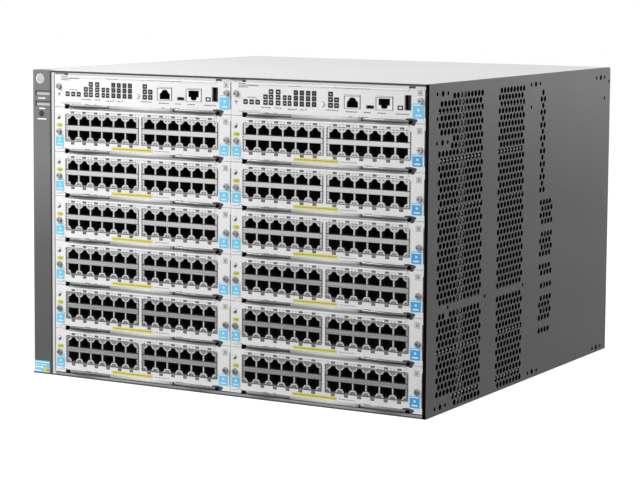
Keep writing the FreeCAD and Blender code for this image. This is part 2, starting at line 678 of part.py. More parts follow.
# ---- power supplies ---------------------------------------------------------------------------
def inlet_box(left, low, back, wall):
    """Space of the power inlet, or its housing where a wall is given."""
    middle_x = left + PSU_W - INLET_IN
    middle_z = low + PSU_H / 2
    return block(
        (middle_x - INLET_W / 2 - wall, middle_x + INLET_W / 2 + wall), (back - INLET_DEPTH - wall, back),
        (middle_z - INLET_H / 2 - wall, middle_z + INLET_H / 2 + wall),
    )


def power_supply(left, low):
    """Case with its rear plate, handle and inlet; empty inside."""
    x, z = (left, left + PSU_W), (low, low + PSU_H)
    plate_y = BODY_DEPTH + RUN_GAP
    body = block(x, (BODY_DEPTH - PSU_DEPTH, plate_y), z)
    back = plate_y + PLATE_T
    bar_z = (z[1] - HANDLE_DROP - HANDLE_BAR, z[1] - HANDLE_DROP)
    handle = plan_prism(pull_handle(x[0] + PSU_W / 2, back), bar_z)
    inlet = inlet_box(left, low, back, 0)
    inside = block(
        (x[0] + PSU_WALL, x[1] - PSU_WALL), (BODY_DEPTH - PSU_DEPTH + PSU_WALL, BODY_DEPTH),
        (z[0] + PSU_WALL, z[1] - PSU_WALL),
    )
    inside = inside.cut(inlet_box(left, low, back, PSU_WALL))
    return [less(join([body, rear_plate(x, z), handle]), [inlet, inside])]


# ---- the whole switch --------------------------------------------------------------------------
def nodes():
    found = {
        "base_pan": base_pan(),
        "left_side_panel": left_side_panel(),
        "right_side_panel": right_side_panel(),
        "top_cover": top_cover(),
        "front_bezel": front_bezel(),
        "fan_partition": fan_partition(),
        "centre_divider": centre_divider(),
        "backplane": backplane(),
        "fan_tray": fan_tray(),
    }
    for number, centre in enumerate(fan_centres()):
        found["fan_rotor_" + str(number + 1)] = rotor(centre)
    for number, (left, low) in enumerate(psu_places()):
        found["power_supply_" + str(number + 1)] = power_supply(left, low)
    for name, left, low, pitch in slots():
        if name.startswith("management"):
            found[name] = management_module(left, low)
            found[name + "_mode_button"] = [mode_button(left, low)]
        else:
            found[name] = port_module(left, low)
        for side in ("left", "right"):
            found[name + "_" + side + "_lever"] = [lever(left, low, side)]
    return found


def export(name, solids):
    shape = solids[0] if len(solids) == 1 else Part.makeCompound(solids)
    moved = shape.copy()
    moved.translate(V(0, FRONT_Y, 0))
    moved.exportStep("parts/" + name + ".step")


def main():
    os.makedirs("parts", exist_ok=True)
    for name, solids in nodes().items():
        export(name, solids)


main()
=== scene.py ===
import math
import random

import bmesh
import bpy
from mathutils import Matrix, Vector
from mathutils.geometry import tessellate_polygon


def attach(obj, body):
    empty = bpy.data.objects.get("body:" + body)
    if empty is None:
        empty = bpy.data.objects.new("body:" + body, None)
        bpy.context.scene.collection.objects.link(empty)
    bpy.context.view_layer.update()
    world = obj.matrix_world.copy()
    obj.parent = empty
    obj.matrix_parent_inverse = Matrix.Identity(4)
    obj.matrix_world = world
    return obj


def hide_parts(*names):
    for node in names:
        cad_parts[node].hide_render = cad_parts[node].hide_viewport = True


# The modular chassis switch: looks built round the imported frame.  Helpers and measures are
# in millimetres; meshes are made in metres.
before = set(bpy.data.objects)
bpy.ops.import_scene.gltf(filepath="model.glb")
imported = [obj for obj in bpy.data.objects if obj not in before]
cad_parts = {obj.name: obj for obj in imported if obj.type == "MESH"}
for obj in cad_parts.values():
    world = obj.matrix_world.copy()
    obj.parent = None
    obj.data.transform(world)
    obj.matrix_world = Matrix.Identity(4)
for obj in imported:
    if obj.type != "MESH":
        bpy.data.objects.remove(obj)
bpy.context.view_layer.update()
random.seed(7)

# ---- measures shared with the frame ----------------------------------------------------
FACE_Y = -223.65            # front of the modules' faces
MODULE_W = 206.2
ROW = 44.45
BODY_DEPTH = 435.0
TOP = 307.0
LEFT, RIGHT = -222.5, 222.5
REAR_Y = FACE_Y + BODY_DEPTH
SLOT_LEFTS = (-194.1, 12.5)
ROW_LINE = 4.2
PORT_SLOTS = "abcdefghijkl"
BLOCK_LEFTS = (13.3, 104.35)  # the two jack blocks, from their module's left side
BLOCK_W = 86.55
BLOCK_Z = 11.2
BLOCK_H = 26.3
JACK_PITCH = 13.97
JACK_FIRST = 8.35           # centre of the first jack from its block's left side
BLOCK_Y = 0.8               # block's front behind the face
MID_Z = BLOCK_Z + BLOCK_H / 2
LEVER_Z = (0.1, 2.7)
PIVOT_IN = 20.0             # lever's pivot from the module's end
PIVOT_Y = 2.4               # and behind the face
SHEET_Y = (BLOCK_Y - 0.3, BLOCK_Y)
INK_Y = (-0.04, 0.0)        # print stands this far out of the face
SEAM_Y = (-0.05, 0.0)


# ---- materials ---------------------------------------------------------------------------
def preset(node, **values):
    """Sets inputs of a shader node by name, with _ for a space."""
    for name, value in values.items():
        node.inputs[name.replace("_", " ")].default_value = value
    return node


def material(name, color, rough=0.5, metallic=0.0, coat=0.0):
    """Plain Principled material; returns (material, node tree, shader)."""
    made = bpy.data.materials.new(name)
    made.use_nodes = True
    tree = made.node_tree
    shader = tree.nodes["Principled BSDF"]
    preset(shader, Base_Color=(*color, 1.0), Roughness=rough, Metallic=metallic, Coat_Weight=coat)
    return made, tree, shader


def coordinates(tree, stretch=(1.0, 1.0, 1.0)):
    """Object coordinates through a mapping with its own scale on each axis."""
    source = tree.nodes.new("ShaderNodeTexCoord")
    mapping = preset(tree.nodes.new("ShaderNodeMapping"), Scale=stretch)
    tree.links.new(source.outputs["Object"], mapping.inputs["Vector"])
    return mapping.outputs["Vector"]


def noise(tree, vector, scale, detail=4.0):
    node = preset(tree.nodes.new("ShaderNodeTexNoise"), Scale=scale, Detail=detail)
    tree.links.new(vector, node.inputs["Vector"])
    return node.outputs["Fac"]


def spread(tree, value, low, high):
    """Maps the middle part of a noise value to low..high."""
    node = tree.nodes.new("ShaderNodeMapRange")
    preset(node, From_Min=0.3, From_Max=0.7, To_Min=low, To_Max=high)
    tree.links.new(value, node.inputs["Value"])
    return node.outputs["Result"]


def blend_colors(tree, value, first, second):
    """Mix of two colours, steered by value."""
    node = tree.nodes.new("ShaderNodeMix")
    node.data_type = "RGBA"
    node.inputs["A"].default_value = (*first, 1.0)
    node.inputs["B"].default_value = (*second, 1.0)
    tree.links.new(value, node.inputs["Factor"])
    return node.outputs["Result"]


def bump(tree, shader, height, strength, distance=0.0002):
    node = preset(tree.nodes.new("ShaderNodeBump"), Strength=strength, Distance=distance)
    tree.links.new(height, node.inputs["Height"])
    tree.links.new(node.outputs["Normal"], shader.inputs["Normal"])


def tone(color, factor):
    return tuple(min(1.0, channel * factor) for channel in color)


def grained(name, color, rough, metallic=0.0, coat=0.0, stretch=(1.0, 1.0, 1.0), scale=900.0,
            contrast=0.06, relief=0.15):
    """Surface with fine grain in colour, roughness and relief, and slow cloudy change."""
    made, tree, shader = material(name, color, rough, metallic, coat)
    fine = noise(tree, coordinates(tree, stretch), scale, 3.0)
    slow = noise(tree, coordinates(tree), 9.0, 2.0)
    dark, light = tone(color, 1.0 - contrast), tone(color, 1.0 + contrast)
    tree.links.new(blend_colors(tree, spread(tree, slow, 0.0, 1.0), dark, light), shader.inputs["Base Color"])
    tree.links.new(spread(tree, fine, rough - 0.06, rough + 0.06), shader.inputs["Roughness"])
    bump(tree, shader, fine, relief)
    return made


def shaded(made, direction, low, high, stops):
    """Multiplies a material's colour by tones (place 0..1, tone) along a direction in object metres."""
    tree = made.node_tree
    shader = tree.nodes["Principled BSDF"]
    base = shader.inputs["Base Color"].links[0].from_socket
    along = tree.nodes.new("ShaderNodeVectorMath")
    along.operation = "DOT_PRODUCT"
    along.inputs[1].default_value = direction
    tree.links.new(coordinates(tree), along.inputs[0])
    reach = preset(tree.nodes.new("ShaderNodeMapRange"), From_Min=low, From_Max=high)
    tree.links.new(along.outputs["Value"], reach.inputs["Value"])
    ramp = tree.nodes.new("ShaderNodeValToRGB")
    elements = ramp.color_ramp.elements
    while len(elements) < len(stops):
        elements.new(1.0)
    for element, (at, level) in zip(elements, stops):
        element.position = at
        element.color = (level, level, level, 1.0)
    tree.links.new(reach.outputs["Result"], ramp.inputs["Fac"])
    mix = tree.nodes.new("ShaderNodeMix")
    mix.data_type = "RGBA"
    mix.blend_type = "MULTIPLY"
    mix.inputs["Factor"].default_value = 1.0
    tree.links.new(base, mix.inputs["A"])
    tree.links.new(ramp.outputs["Color"], mix.inputs["B"])
    tree.links.new(mix.outputs["Result"], shader.inputs["Base Color"])


def solder_mask():
    """Green board with the faint relief and tone of its copper tracks."""
    made, tree, shader = material("board_green", (0.02, 0.13, 0.05), 0.35, 0.0, 0.4)
    brick = preset(tree.nodes.new("ShaderNodeTexBrick"), Scale=160.0, Mortar_Size=0.03,
                   Color1=(0.018, 0.12, 0.045, 1.0), Color2=(0.024, 0.15, 0.06, 1.0),
                   Mortar=(0.03, 0.19, 0.08, 1.0))
    tree.links.new(coordinates(tree), brick.inputs["Vector"])
    tree.links.new(brick.outputs["Color"], shader.inputs["Base Color"])
    bump(tree, shader, brick.outputs["Fac"], 0.2, 0.0001)
    return made


def lens(name, color):
    """Lens of a small lamp that is off."""
    made, tree, shader = material(name, color, 0.25)
    preset(shader, Transmission_Weight=0.3)
    bump(tree, shader, noise(tree, coordinates(tree), 1500.0), 0.1)
    return made


def label(name, color, coat=0.15):
    """Smooth coloured sticker under a thin gloss."""
    return grained(name, color, 0.4, 0.0, coat, scale=700.0, contrast=0.04, relief=0.05)


BRUSHED_X = (0.02, 1.0, 1.0)
M = {
    "face": grained("face_sheet", (0.80, 0.80, 0.80), 0.42, 0.15, stretch=BRUSHED_X, scale=1400.0,
                    contrast=0.02, relief=0.06),
    # paler copy of the face sheet; on the folded top edges it is partly painted highlight
    "lip": grained("face_lip", (0.88, 0.88, 0.88), 0.3, 0.2, stretch=BRUSHED_X, scale=1400.0, contrast=0.02),
    "plated": grained("plated_sheet", (0.60, 0.61, 0.62), 0.36, 0.85, stretch=BRUSHED_X, scale=1100.0,
                      contrast=0.05, relief=0.1),
    "shield": grained("jack_shield", (0.66, 0.66, 0.655), 0.24, 0.85, stretch=BRUSHED_X, scale=1300.0,
                      contrast=0.04, relief=0.04),
    "side": grained("side_paint", (0.20, 0.20, 0.203), 0.5, scale=1500.0, contrast=0.04, relief=0.25),
    "cover": grained("cover_paint", (0.57, 0.57, 0.58), 0.45, scale=1500.0, contrast=0.02, relief=0.2),
    "bezel": grained("bezel_plastic", (0.31, 0.31, 0.31), 0.5, scale=2200.0, contrast=0.03, relief=0.3),
    "badge": grained("badge_grey", (0.46, 0.46, 0.46), 0.4, scale=1600.0, contrast=0.04),
    "black": grained("black_plastic", (0.012, 0.012, 0.013), 0.55, scale=1800.0, contrast=0.1, relief=0.2),
    "cavity": grained("jack_inside", (0.004, 0.004, 0.004), 0.8, scale=1800.0, contrast=0.1, relief=0.1),
    # painted shade: dead black without gloss, for hole walls and sheets where only shade is seen
    "void": grained("painted_shade_black", (0.004, 0.004, 0.004), 0.9, scale=1800.0, contrast=0.1, relief=0.1),
    "gold": grained("contact_gold", (0.45, 0.30, 0.10), 0.25, 1.0, scale=2500.0, contrast=0.08),
    "pipe": grained("light_pipe", (0.62, 0.62, 0.62), 0.25, scale=1500.0, contrast=0.02, relief=0.05),
    "lamp": lens("lamp_off", (0.06, 0.07, 0.06)),
    "screw": grained("screw_steel", (0.50, 0.50, 0.51), 0.3, 1.0, scale=1600.0, contrast=0.08),
    "ink": grained("print_dark", (0.035, 0.035, 0.037), 0.6, scale=1200.0, contrast=0.15),
    "dim": grained("dim_recess", (0.14, 0.14, 0.14), 0.6, scale=1200.0, contrast=0.1),
    "grey_ink": grained("print_grey", (0.30, 0.30, 0.31), 0.6, scale=1200.0, contrast=0.15),
    "white": grained("print_white", (0.84, 0.84, 0.84), 0.5, scale=1200.0, contrast=0.02),
    "blue": label("sticker_blue", (0.18, 0.56, 0.81)),
    "deep_blue": label("sticker_deep", (0.04, 0.36, 0.76)),
    "pale_blue": label("sticker_pale", (0.55, 0.84, 0.93)),
    "yellow": label("sticker_yellow", (0.72, 0.65, 0.12), 0.2),
    "oval": label("sticker_oval", (0.60, 0.59, 0.10), 0.2),
    "ochre": grained("sticker_ochre", (0.28, 0.27, 0.03), 0.45, scale=700.0, contrast=0.05, relief=0.05),
    "chip": grained("chip_resin", (0.02, 0.02, 0.022), 0.5, scale=1500.0, contrast=0.1, relief=0.2),
    "sink": grained("heat_sink", (0.45, 0.46, 0.47), 0.35, 0.9, stretch=BRUSHED_X, scale=1200.0),
    "chrome": grained("lever_chrome", (0.90, 0.90, 0.90), 0.22, 0.7, scale=1800.0, contrast=0.03,
                      relief=0.05),
    "roll": grained("rolled_edge", (0.86, 0.86, 0.86), 0.3, 0.2, scale=1400.0, contrast=0.02),
    "board": solder_mask(),
}
ORDER = list(M)
# no gloss on the painted-shade black, so it reads as shade
preset(M["void"].node_tree.nodes["Principled BSDF"], Specular_IOR_Level=0.0)
# the photograph's light falls off down the bezel, along the side and round the polished edges
shaded(M["bezel"], (0.0, 0.0, 1.0), 0.0, 0.307, ((0.0, 0.27), (0.42, 0.29), (0.72, 0.50), (1.0, 0.47)))
SIDE_TONES = ((0.0, 0.12), (0.34, 0.17), (0.47, 0.27), (0.58, 0.30), (0.68, 0.45), (0.8, 0.68), (0.91, 0.95),
              (1.0, 1.0))
shaded(M["side"], (0.0, 0.05, 0.3), 0.00005 * FACE_Y, 0.1034, SIDE_TONES)
shaded(M["chrome"], (0.0, 1.0, 0.0), -0.0046, -0.002, ((0.0, 0.6), (0.5, 0.75), (1.0, 1.0)))
shaded(M["roll"], (1.0, 0.0, 0.0), 0.0663, 0.1399, ((0.0, 0.55), (0.35, 0.85), (0.6, 1.0), (1.0, 0.6)))
shaded(M["roll"], (0.0, 0.0, 1.0), 0.0, 0.003, ((0.0, 0.55), (0.4, 0.75), (0.8, 0.97), (1.0, 1.0)))
shaded(M["chrome"], (0.0, 0.0, 1.0), 0.0, 0.003, ((0.0, 0.05), (0.35, 0.16), (0.75, 0.5), (1.0, 0.8)))


# ---- mesh building -------------------------------------------------------------------------
# where a 2-D outline's point (a, b) at level c stands, by the axis it is drawn along
ALONG = {
    "x": lambda a, b, c: (c, a, b),
    "y": lambda a, b, c: (a, c, b),
    "z": lambda a, b, c: (a, b, c),
}


class Build:
    """Collects faces in millimetres, each with the name of its material."""

    def __init__(self):
        self.points = []
        self.faces = []
        self.looks = []

    def face(self, points, look):
        start = len(self.points)
        self.points += [tuple(point) for point in points]
        self.faces.append(tuple(range(start, start + len(points))))
        self.looks.append(look)

    def prism(self, outline, axis, span, look):
        """Closed prism of a 2-D outline; axis y takes (x, z), z takes (x, y), x takes (y, z)."""
        start = len(self.points)
        count = len(outline)
        for level in span:
            self.points += [ALONG[axis](a, b, level) for a, b in outline]
        self.faces.append(tuple(range(start, start + count)))
        self.faces.append(tuple(range(start + 2 * count - 1, start + count - 1, -1)))
        for number in range(count):
            after = (number + 1) % count
            self.faces.append((start + number, start + count + number, start + count + after, start + after))
        self.looks += [look] * (count + 2)

    def box(self, x, y, z, look):
        self.prism(rectangle(x, z), "y", y, look)

    def rounded(self, x, z, radius, y, look):
        """Plate across Y with rounded corners."""
        self.prism(rounded_outline(x, z, radius), "y", y, look)

    def disc(self, centre, radius, axis, span, look, sides=20):
        self.prism(circle(centre, radius, sides), axis, span, look)

    def sheet(self, outline, holes, axis, span, look, wall=None):
        """Flat sheet with through holes; the holes' walls may have a look of their own."""
        loops = [outline] + holes
        flat = [point for loop in loops for point in loop]
        triangles = tessellate_polygon([[Vector((a, b, 0.0)) for a, b in loop] for loop in loops])
        start = len(self.points)
        count = len(flat)
        for level in span:
            self.points += [ALONG[axis](a, b, level) for a, b in flat]
        for tri in triangles:
            self.faces.append(tuple(start + i for i in tri))
            self.faces.append(tuple(start + count + i for i in reversed(tri)))
            self.looks += [look, look]
        first = start
        for loop in loops:
            size = len(loop)
            edge = look if loop is outline else wall or look
            for number in range(size):
                here, after = first + number, first + (number + 1) % size
                self.faces.append((here, after, count + after, count + here))
                self.looks.append(edge)
            first += size

    def mesh(self, name):
        """Mesh data of everything collected, welded, with its faces turned outwards."""
        made = bpy.data.meshes.new(name)
        made.from_pydata([tuple(v * 0.001 for v in point) for point in self.points], [], self.faces)
        used = sorted(set(self.looks), key=ORDER.index)
        for look in used:
            made.materials.append(M[look])
        made.polygons.foreach_set("material_index", [used.index(look) for look in self.looks])
        work = bmesh.new()
        work.from_mesh(made)
        bmesh.ops.remove_doubles(work, verts=work.verts, dist=1e-7)
        bmesh.ops.recalc_face_normals(work, faces=work.faces)
        work.to_mesh(made)
        work.free()
        made.update()
        return made


def rectangle(x, z):
    return [(x[0], z[0]), (x[1], z[0]), (x[1], z[1]), (x[0], z[1])]


def circle(centre, radius, sides):
    turns = [2 * math.pi * (number + 0.5) / sides for number in range(sides)]
    return [(centre[0] + radius * math.cos(t), centre[1] + radius * math.sin(t)) for t in turns]


def rounded_outline(x, z, radius):
    steps = 3
    corners = (
        (x[1] - radius, z[1] - radius, 0), (x[0] + radius, z[1] - radius, 90),
        (x[0] + radius, z[0] + radius, 180), (x[1] - radius, z[0] + radius, 270),
    )
    points = []
    for cx, cz, start in corners:
        for step in range(steps + 1):
            turn = math.radians(start + 90 * step / steps)
            points.append((cx + radius * math.cos(turn), cz + radius * math.sin(turn)))
    return points


def linked(name, data):
    """New object in the scene."""
    made = bpy.data.objects.new(name, data)
    bpy.context.scene.collection.objects.link(made)
    return made


def place(mesh, name, body, x=0.0, z=0.0, y=0.0, bevel=0.0):
    """Object of a mesh at an offset in millimetres, riding on a body."""
    made = linked(name, mesh)
    made.location = (x * 0.001, y * 0.001, z * 0.001)
    if bevel:
        rounding = made.modifiers.new("edges", "BEVEL")
        rounding.width = bevel * 0.001
        rounding.segments = 2
        rounding.limit_method = "ANGLE"
        rounding.angle_limit = math.radians(40)
    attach(made, body)
    return made


def coat(node, rules, default):
    """Gives the faces of a CAD node their materials: rules are (look, test on a face's points in mm)."""
    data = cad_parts[node].data
    data.materials.clear()
    for look in [look for look, _ in rules] + [default]:
        data.materials.append(M[look])
    for polygon in data.polygons:
        points = [data.vertices[i].co * 1000.0 for i in polygon.vertices]
        matches = (number for number, (_, test) in enumerate(rules) if test(points))
        polygon.material_index = next(matches, len(rules))


def within(x, y, z, slack=0.02):
    """Test that every point of a face lies in a box."""
    def test(points):
        return all(
            x[0] - slack <= p.x <= x[1] + slack and y[0] - slack <= p.y <= y[1] + slack
            and z[0] - slack <= p.z <= z[1] + slack for p in points
        )
    return test


# ---- modules --------------------------------------------------------------------------------
def slots():
    """(body name, short name, left side, row line) of every module."""
    found = []
    for number, letter in enumerate(PORT_SLOTS):
        row, column = divmod(number, 2)
        low = ROW_LINE + (5 - row) * ROW
        found.append(("port_module_" + letter, "port_" + letter, SLOT_LEFTS[column], low))
    for number, left in zip("12", SLOT_LEFTS):
        found.append(("management_module_" + number, "mgmt_" + number, left, ROW_LINE + 6 * ROW))
    return found


# half profiles of the jack openings, from the wide side towards the latch
BELL = ((6.1, 0.0), (6.1, 6.0), (5.3, 6.4), (3.6, 7.1), (2.8, 7.9), (2.2, 9.0), (1.5, 9.8))
DROP = ((6.1, 0.0), (6.1, 6.7), (4.5, 6.9), (3.7, 7.4), (3.1, 8.4), (2.6, 9.5), (2.2, 10.3))
STEPPED = ((5.9, 0.0), (5.9, 5.5), (4.75, 5.5), (4.75, 6.7), (3.6, 6.7), (3.6, 7.8), (2.8, 8.6), (1.6, 9.3))
TAB = ((5.9, 0.0), (5.9, 6.2), (3.4, 6.2), (3.4, 8.0), (2.4, 9.0), (1.2, 9.3))


def jack_outline(middle, base, way, shape):
    """Opening of a jack from half its profile; way is 1 with the latch up and -1 with it down."""
    right = [(middle + x, base + way * z) for x, z in shape]
    left = [(middle - x, base + way * z) for x, z in reversed(shape)]
    return right + left


def contacts(build, middle, base, way):
    """Eight slanted spring contacts on the wide side of a jack."""
    profile = [(1.6, 0.35), (1.9, 0.35), (9.6, 3.4), (9.6, 3.7)]
    for number in range(8):
        x = middle + (number - 3.5) * 1.02
        outline = [(BLOCK_Y + y, base + way * z) for y, z in profile]
        build.prism(outline, "x", (x - 0.17, x + 0.17), "gold")


def light_pipes(build, middle, base, way):
    """Bright slopes on both sides of the latch, each with a dark recess behind it."""
    if way > 0:
        slope = [(6.3, 6.5), (6.3, 7.3), (4.7, 7.9), (3.6, 9.6), (2.8, 9.6), (3.4, 8.0), (4.5, 7.0),
                 (5.6, 6.6)]
        recess = [(4.6, 8.6), (5.9, 8.4), (6.1, 9.6), (4.4, 9.7)]
    else:
        slope = [(6.9, 7.0), (6.9, 7.9), (5.0, 8.0), (3.7, 10.35), (2.6, 10.35), (3.3, 8.7), (4.2, 7.3),
                 (5.2, 7.0)]
        recess = [(5.3, 8.4), (6.6, 8.5), (6.5, 10.0), (4.5, 10.0)]
    for side in (-1, 1):
        for outline, depth, look in ((slope, 0.6, "pipe"), (recess, 0.4, "dim")):
            points = [(middle + side * x, base + way * z) for x, z in outline]
            build.prism(points, "y", (BLOCK_Y - depth, SHEET_Y[0]), look)


def jack_front(build, middles, rows, x, z):
    """Shield front over one block of jacks; rows are (base, way, shape)."""
    holes = [jack_outline(middle, *row) for row in rows for middle in middles]
    for base, way, shape in rows:
        for middle in middles:
            contacts(build, middle, base, way)
            light_pipes(build, middle, base, way)
    build.sheet(rectangle(x, z), holes, "y", SHEET_Y, "shield")


def fins(build, middles, rows):
    """Bright folded edges of the shield between neighbouring jacks."""
    for base, way, _ in rows:
        z = sorted((base + way * 0.3, base + way * 6.2))
        for middle in middles[:-1]:
            x = middle + JACK_PITCH / 2
            build.box((x - 0.4, x + 0.4), (BLOCK_Y - 0.55, SHEET_Y[0]), z, "pipe")


def port_jacks():
    """Both blocks of stacked jacks of a port module."""
    build = Build()
    strip = (MID_Z - 2.45, MID_Z + 2.05)
    rows = ((strip[1], 1, BELL), (strip[0], -1, DROP))
    for start in BLOCK_LEFTS:
        middles = [start + JACK_FIRST + number * JACK_PITCH for number in range(6)]
        x = (start, start + BLOCK_W)
        jack_front(build, middles, rows, x, (BLOCK_Z, BLOCK_Z + BLOCK_H))
        build.box(x, (BLOCK_Y - 0.7, BLOCK_Y - 0.5), strip, "shield")
        fins(build, middles, rows)
    return build.mesh("port_jacks")


def frame_ring(build, x, z, width, y, look):
    """Raised frame round a window."""
    outer = rectangle((x[0] - width, x[1] + width), (z[0] - width, z[1] + width))
    build.sheet(outer, [rectangle(x, z)], "y", y, look)


def lever_channel(build):
    """Rolled edge of the face between the levers, and the shadow at the channel's right end."""
    build.prism([(66.3, -0.5), (137.2, -0.5), (139.9, 0.9), (66.3, 0.9)], "z", (0.1, 3.0), "roll")
    swoosh = [(186.0, 3.0), (193.0, 3.0), (193.6, 0.0), (195.2, -0.6), (198.2, 2.4), (197.6, 3.8),
              (191.5, 4.8), (186.0, 4.3)]
    build.prism(swoosh, "y", (-0.06, 0.0), "ink")


def port_dress():
    """Folded top edge, rolled lower edge and the frames round the jack blocks."""
    build = Build()
    top, line_y = BLOCK_Z + BLOCK_H, (-0.35, -0.25)
    # the folded top edge is paler than the face: partly painted highlight where it catches light
    build.box((16.6, 189.4), (-0.7, 0.0), (40.7, 42.3), "lip")
    build.box((16.6, 189.4), (-0.3, 0.0), (42.3, 44.3), "grey_ink")
    build.prism([(190.5, 44.3), (192.5, 42.4), (195.0, 42.4), (196.5, 44.3)], "y", (-0.06, 0.0), "ink")
    lever_channel(build)
    for start in BLOCK_LEFTS:
        x = (start - 0.4, start + BLOCK_W + 0.4)
        frame_ring(build, x, (BLOCK_Z - 0.4, top + 0.4), 0.5, (-0.25, 0.0), "lip")
        build.box(x, line_y, (BLOCK_Z - 0.6, BLOCK_Z - 0.1), "ink")
        build.box((x[1] - 0.3, x[1] + 0.5), line_y, (BLOCK_Z, top - 1.0), "ink")
        for number in range(9):
            z = BLOCK_Z + 0.6 + number * 2.9
            build.box((x[0] - 0.4, x[0] + 0.3), line_y, (z, z + 1.9), "grey_ink")
    return build.mesh("port_dress")


def sticker(build, x, z, look):
    build.rounded(x, z, 0.5, (-0.08, 0.0), look)


def blue_label(build, x, z, look="blue"):
    """Blue label with a paler head, a pale spot and a pale bar, which is white on deeper blue."""
    sticker(build, x, z, look)
    height, middle, on = z[1] - z[0], (x[0] + x[1]) / 2, (-0.11, -0.08)
    bar = "pale_blue" if look == "blue" else "white"
    build.box((x[0] + 0.5, x[1] - 0.5), on, (z[1] - 0.16 * height, z[1] - 0.05 * height), "pale_blue")
    for half, low, high, radius, tint in ((1.2, 0.47, 0.66, 0.6, "pale_blue"), (3.1, 0.15, 0.27, 0.4, bar)):
        span = (z[0] + low * height, z[0] + high * height)
        build.rounded((middle - half, middle + half), span, radius, on, tint)


def print_line(build, x, z, height, look, rhythm=(1.6, 0.5), on=0.0):
    """Row of short bars standing for a line of small print, on a surface at y = on."""
    at = x[0]
    while at < x[1] - 0.3:
        length = rhythm[0] * (0.6 + 0.8 * random.random())
        build.box((at, min(at + length, x[1])), (on - 0.03, on), (z, z + height), look)
        at += length + rhythm[1]


def number_mark(build, middle, z):
    """Dark oval ring with a paler middle, one over or under each jack."""
    build.rounded((middle - 2.1, middle + 2.1), (z - 1.3, z + 1.3), 0.6, INK_Y, "ink")
    build.rounded((middle - 1.2, middle + 1.2), (z - 0.6, z + 0.6), 0.4, (-0.06, -0.04), "grey_ink")
    build.box((middle - 0.8, middle + 0.8), (-0.08, -0.06), (z - 0.2, z + 0.2), "ink")


def jack_marks(build, start):
    """Number marks and fine dashes of one block."""
    top = BLOCK_Z + BLOCK_H
    for number in range(6):
        middle = start + JACK_FIRST + number * JACK_PITCH
        number_mark(build, middle, 39.15)
        number_mark(build, middle, 8.95)
        for side in (-1, 1):
            x = middle + side * 5.3
            build.box((x - 0.8, x + 0.8), (-0.32, -0.25), (top + 0.3, top + 0.8), "ink")
            build.box((x - 0.5, x + 0.5), INK_Y, (39.5, 39.9), "grey_ink")


def square_mark(build, x, z):
    """Grey square outline with a filled square in it."""
    window = rectangle((x[0] + 0.5, x[1] - 0.5), (z[0] + 0.5, z[1] - 0.5))
    build.sheet(rectangle(x, z), [window], "y", INK_Y, "grey_ink")
    build.box((x[0] + 1.1, x[1] - 1.1), INK_Y, (z[0] + 1.0, z[1] - 1.0), "grey_ink")


def arrow_oval(build):
    """Yellow oval with an arrow to the right."""
    build.rounded((2.1, 9.8), (24.5, 28.5), 1.9, (-0.08, 0.0), "oval")
    arrow = [(4.4, 26.1), (6.6, 26.1), (6.6, 25.4), (8.6, 26.5), (6.6, 27.6), (6.6, 26.9), (4.4, 26.9)]
    build.prism(arrow, "y", (-0.12, -0.08), "ochre")


def round_mark(build):
    """Ring with a dark spot low in it."""
    build.sheet(circle((4.4, 34.6), 2.6, 24), [circle((4.0, 34.9), 2.2, 24)], "y", INK_Y, "ink")
    build.disc((4.9, 34.0), 1.1, "y", (-0.06, -0.04), "ink", 16)


def lever_marks(build, spans):
    """Fine lines and short dark bars just above the levers."""
    for x in spans:
        build.rounded(x, (3.25, 3.95), 0.33, INK_Y, "grey_ink")
    build.prism([(8.2, 4.6), (8.2, 4.2), (14.0, 3.1), (14.6, 3.4)], "y", INK_Y, "ink")


def port_print(right_look):
    """Marks, stickers and small print on a port module."""
    build = Build()
    for start in BLOCK_LEFTS:
        jack_marks(build, start)
    sticker(build, (68.4, 117.0), (4.1, 7.3), "yellow")
    print_line(build, (70.0, 115.5), 5.2, 1.0, "ochre", (1.3, 0.7), -0.08)
    print_line(build, (119.0, 136.0), 5.2, 0.8, "grey_ink")
    print_line(build, (2.5, 9.5), 2.4, 0.7, "grey_ink")
    arrow_oval(build)
    round_mark(build)
    blue_label(build, (1.2, 11.1), (5.4, 16.6))
    blue_label(build, (193.4, 203.7), (5.4, 16.6), right_look)
    square_mark(build, (197.7, 203.1), (35.0, 40.5))
    lever_marks(build, ((36.5, 42.5), (48.0, 50.5), (144.0, 152.0)))
    build.box((MODULE_W - 0.7, MODULE_W), SEAM_Y, (5.5, 38.5), "ink")
    return build.mesh("port_print")


def captive_screw(build, x, z):
    """Knurled head on a collar, with a dark cross painted as the shade of its cross recess."""
    build.disc((x, z), 3.3, "y", (-0.35, 0.0), "screw", 24)
    knurl = []
    for number in range(32):
        radius = 2.75 if number % 2 else 2.55
        turn = 2 * math.pi * number / 32
        knurl.append((x + radius * math.cos(turn), z + radius * math.sin(turn)))
    build.prism(knurl, "y", (-2.0, -0.35), "screw")
    build.disc((x, z), 2.2, "y", (-2.25, -2.0), "screw", 20)
    # the dark cross stands in for the shade in the cross recess: painted shade
    for wide, high in ((1.5, 0.3), (0.3, 1.5)):
        build.box((x - wide, x + wide), (-2.28, -2.2), (z - high, z + high), "ink")


def port_screws():
    build = Build()
    for x in (5.2, 201.0):
        captive_screw(build, x, 20.25)
    return build.mesh("port_screws")


def chip(build, x, y, size, height, base, look="chip"):
    build.box((x, x + size[0]), (y, y + size[1]), (base, base + height), look)


def heat_sink(build, x, y, side, height, base, count):
    """Square plate with upright fins along Y."""
    chip(build, x, y, (side, side), 2.0, base, "sink")
    for number in range(count):
        at = x + (number + 0.5) * side / count
        build.box((at - 0.4, at + 0.4), (y, y + side), (base + 2.0, base + height), "sink")


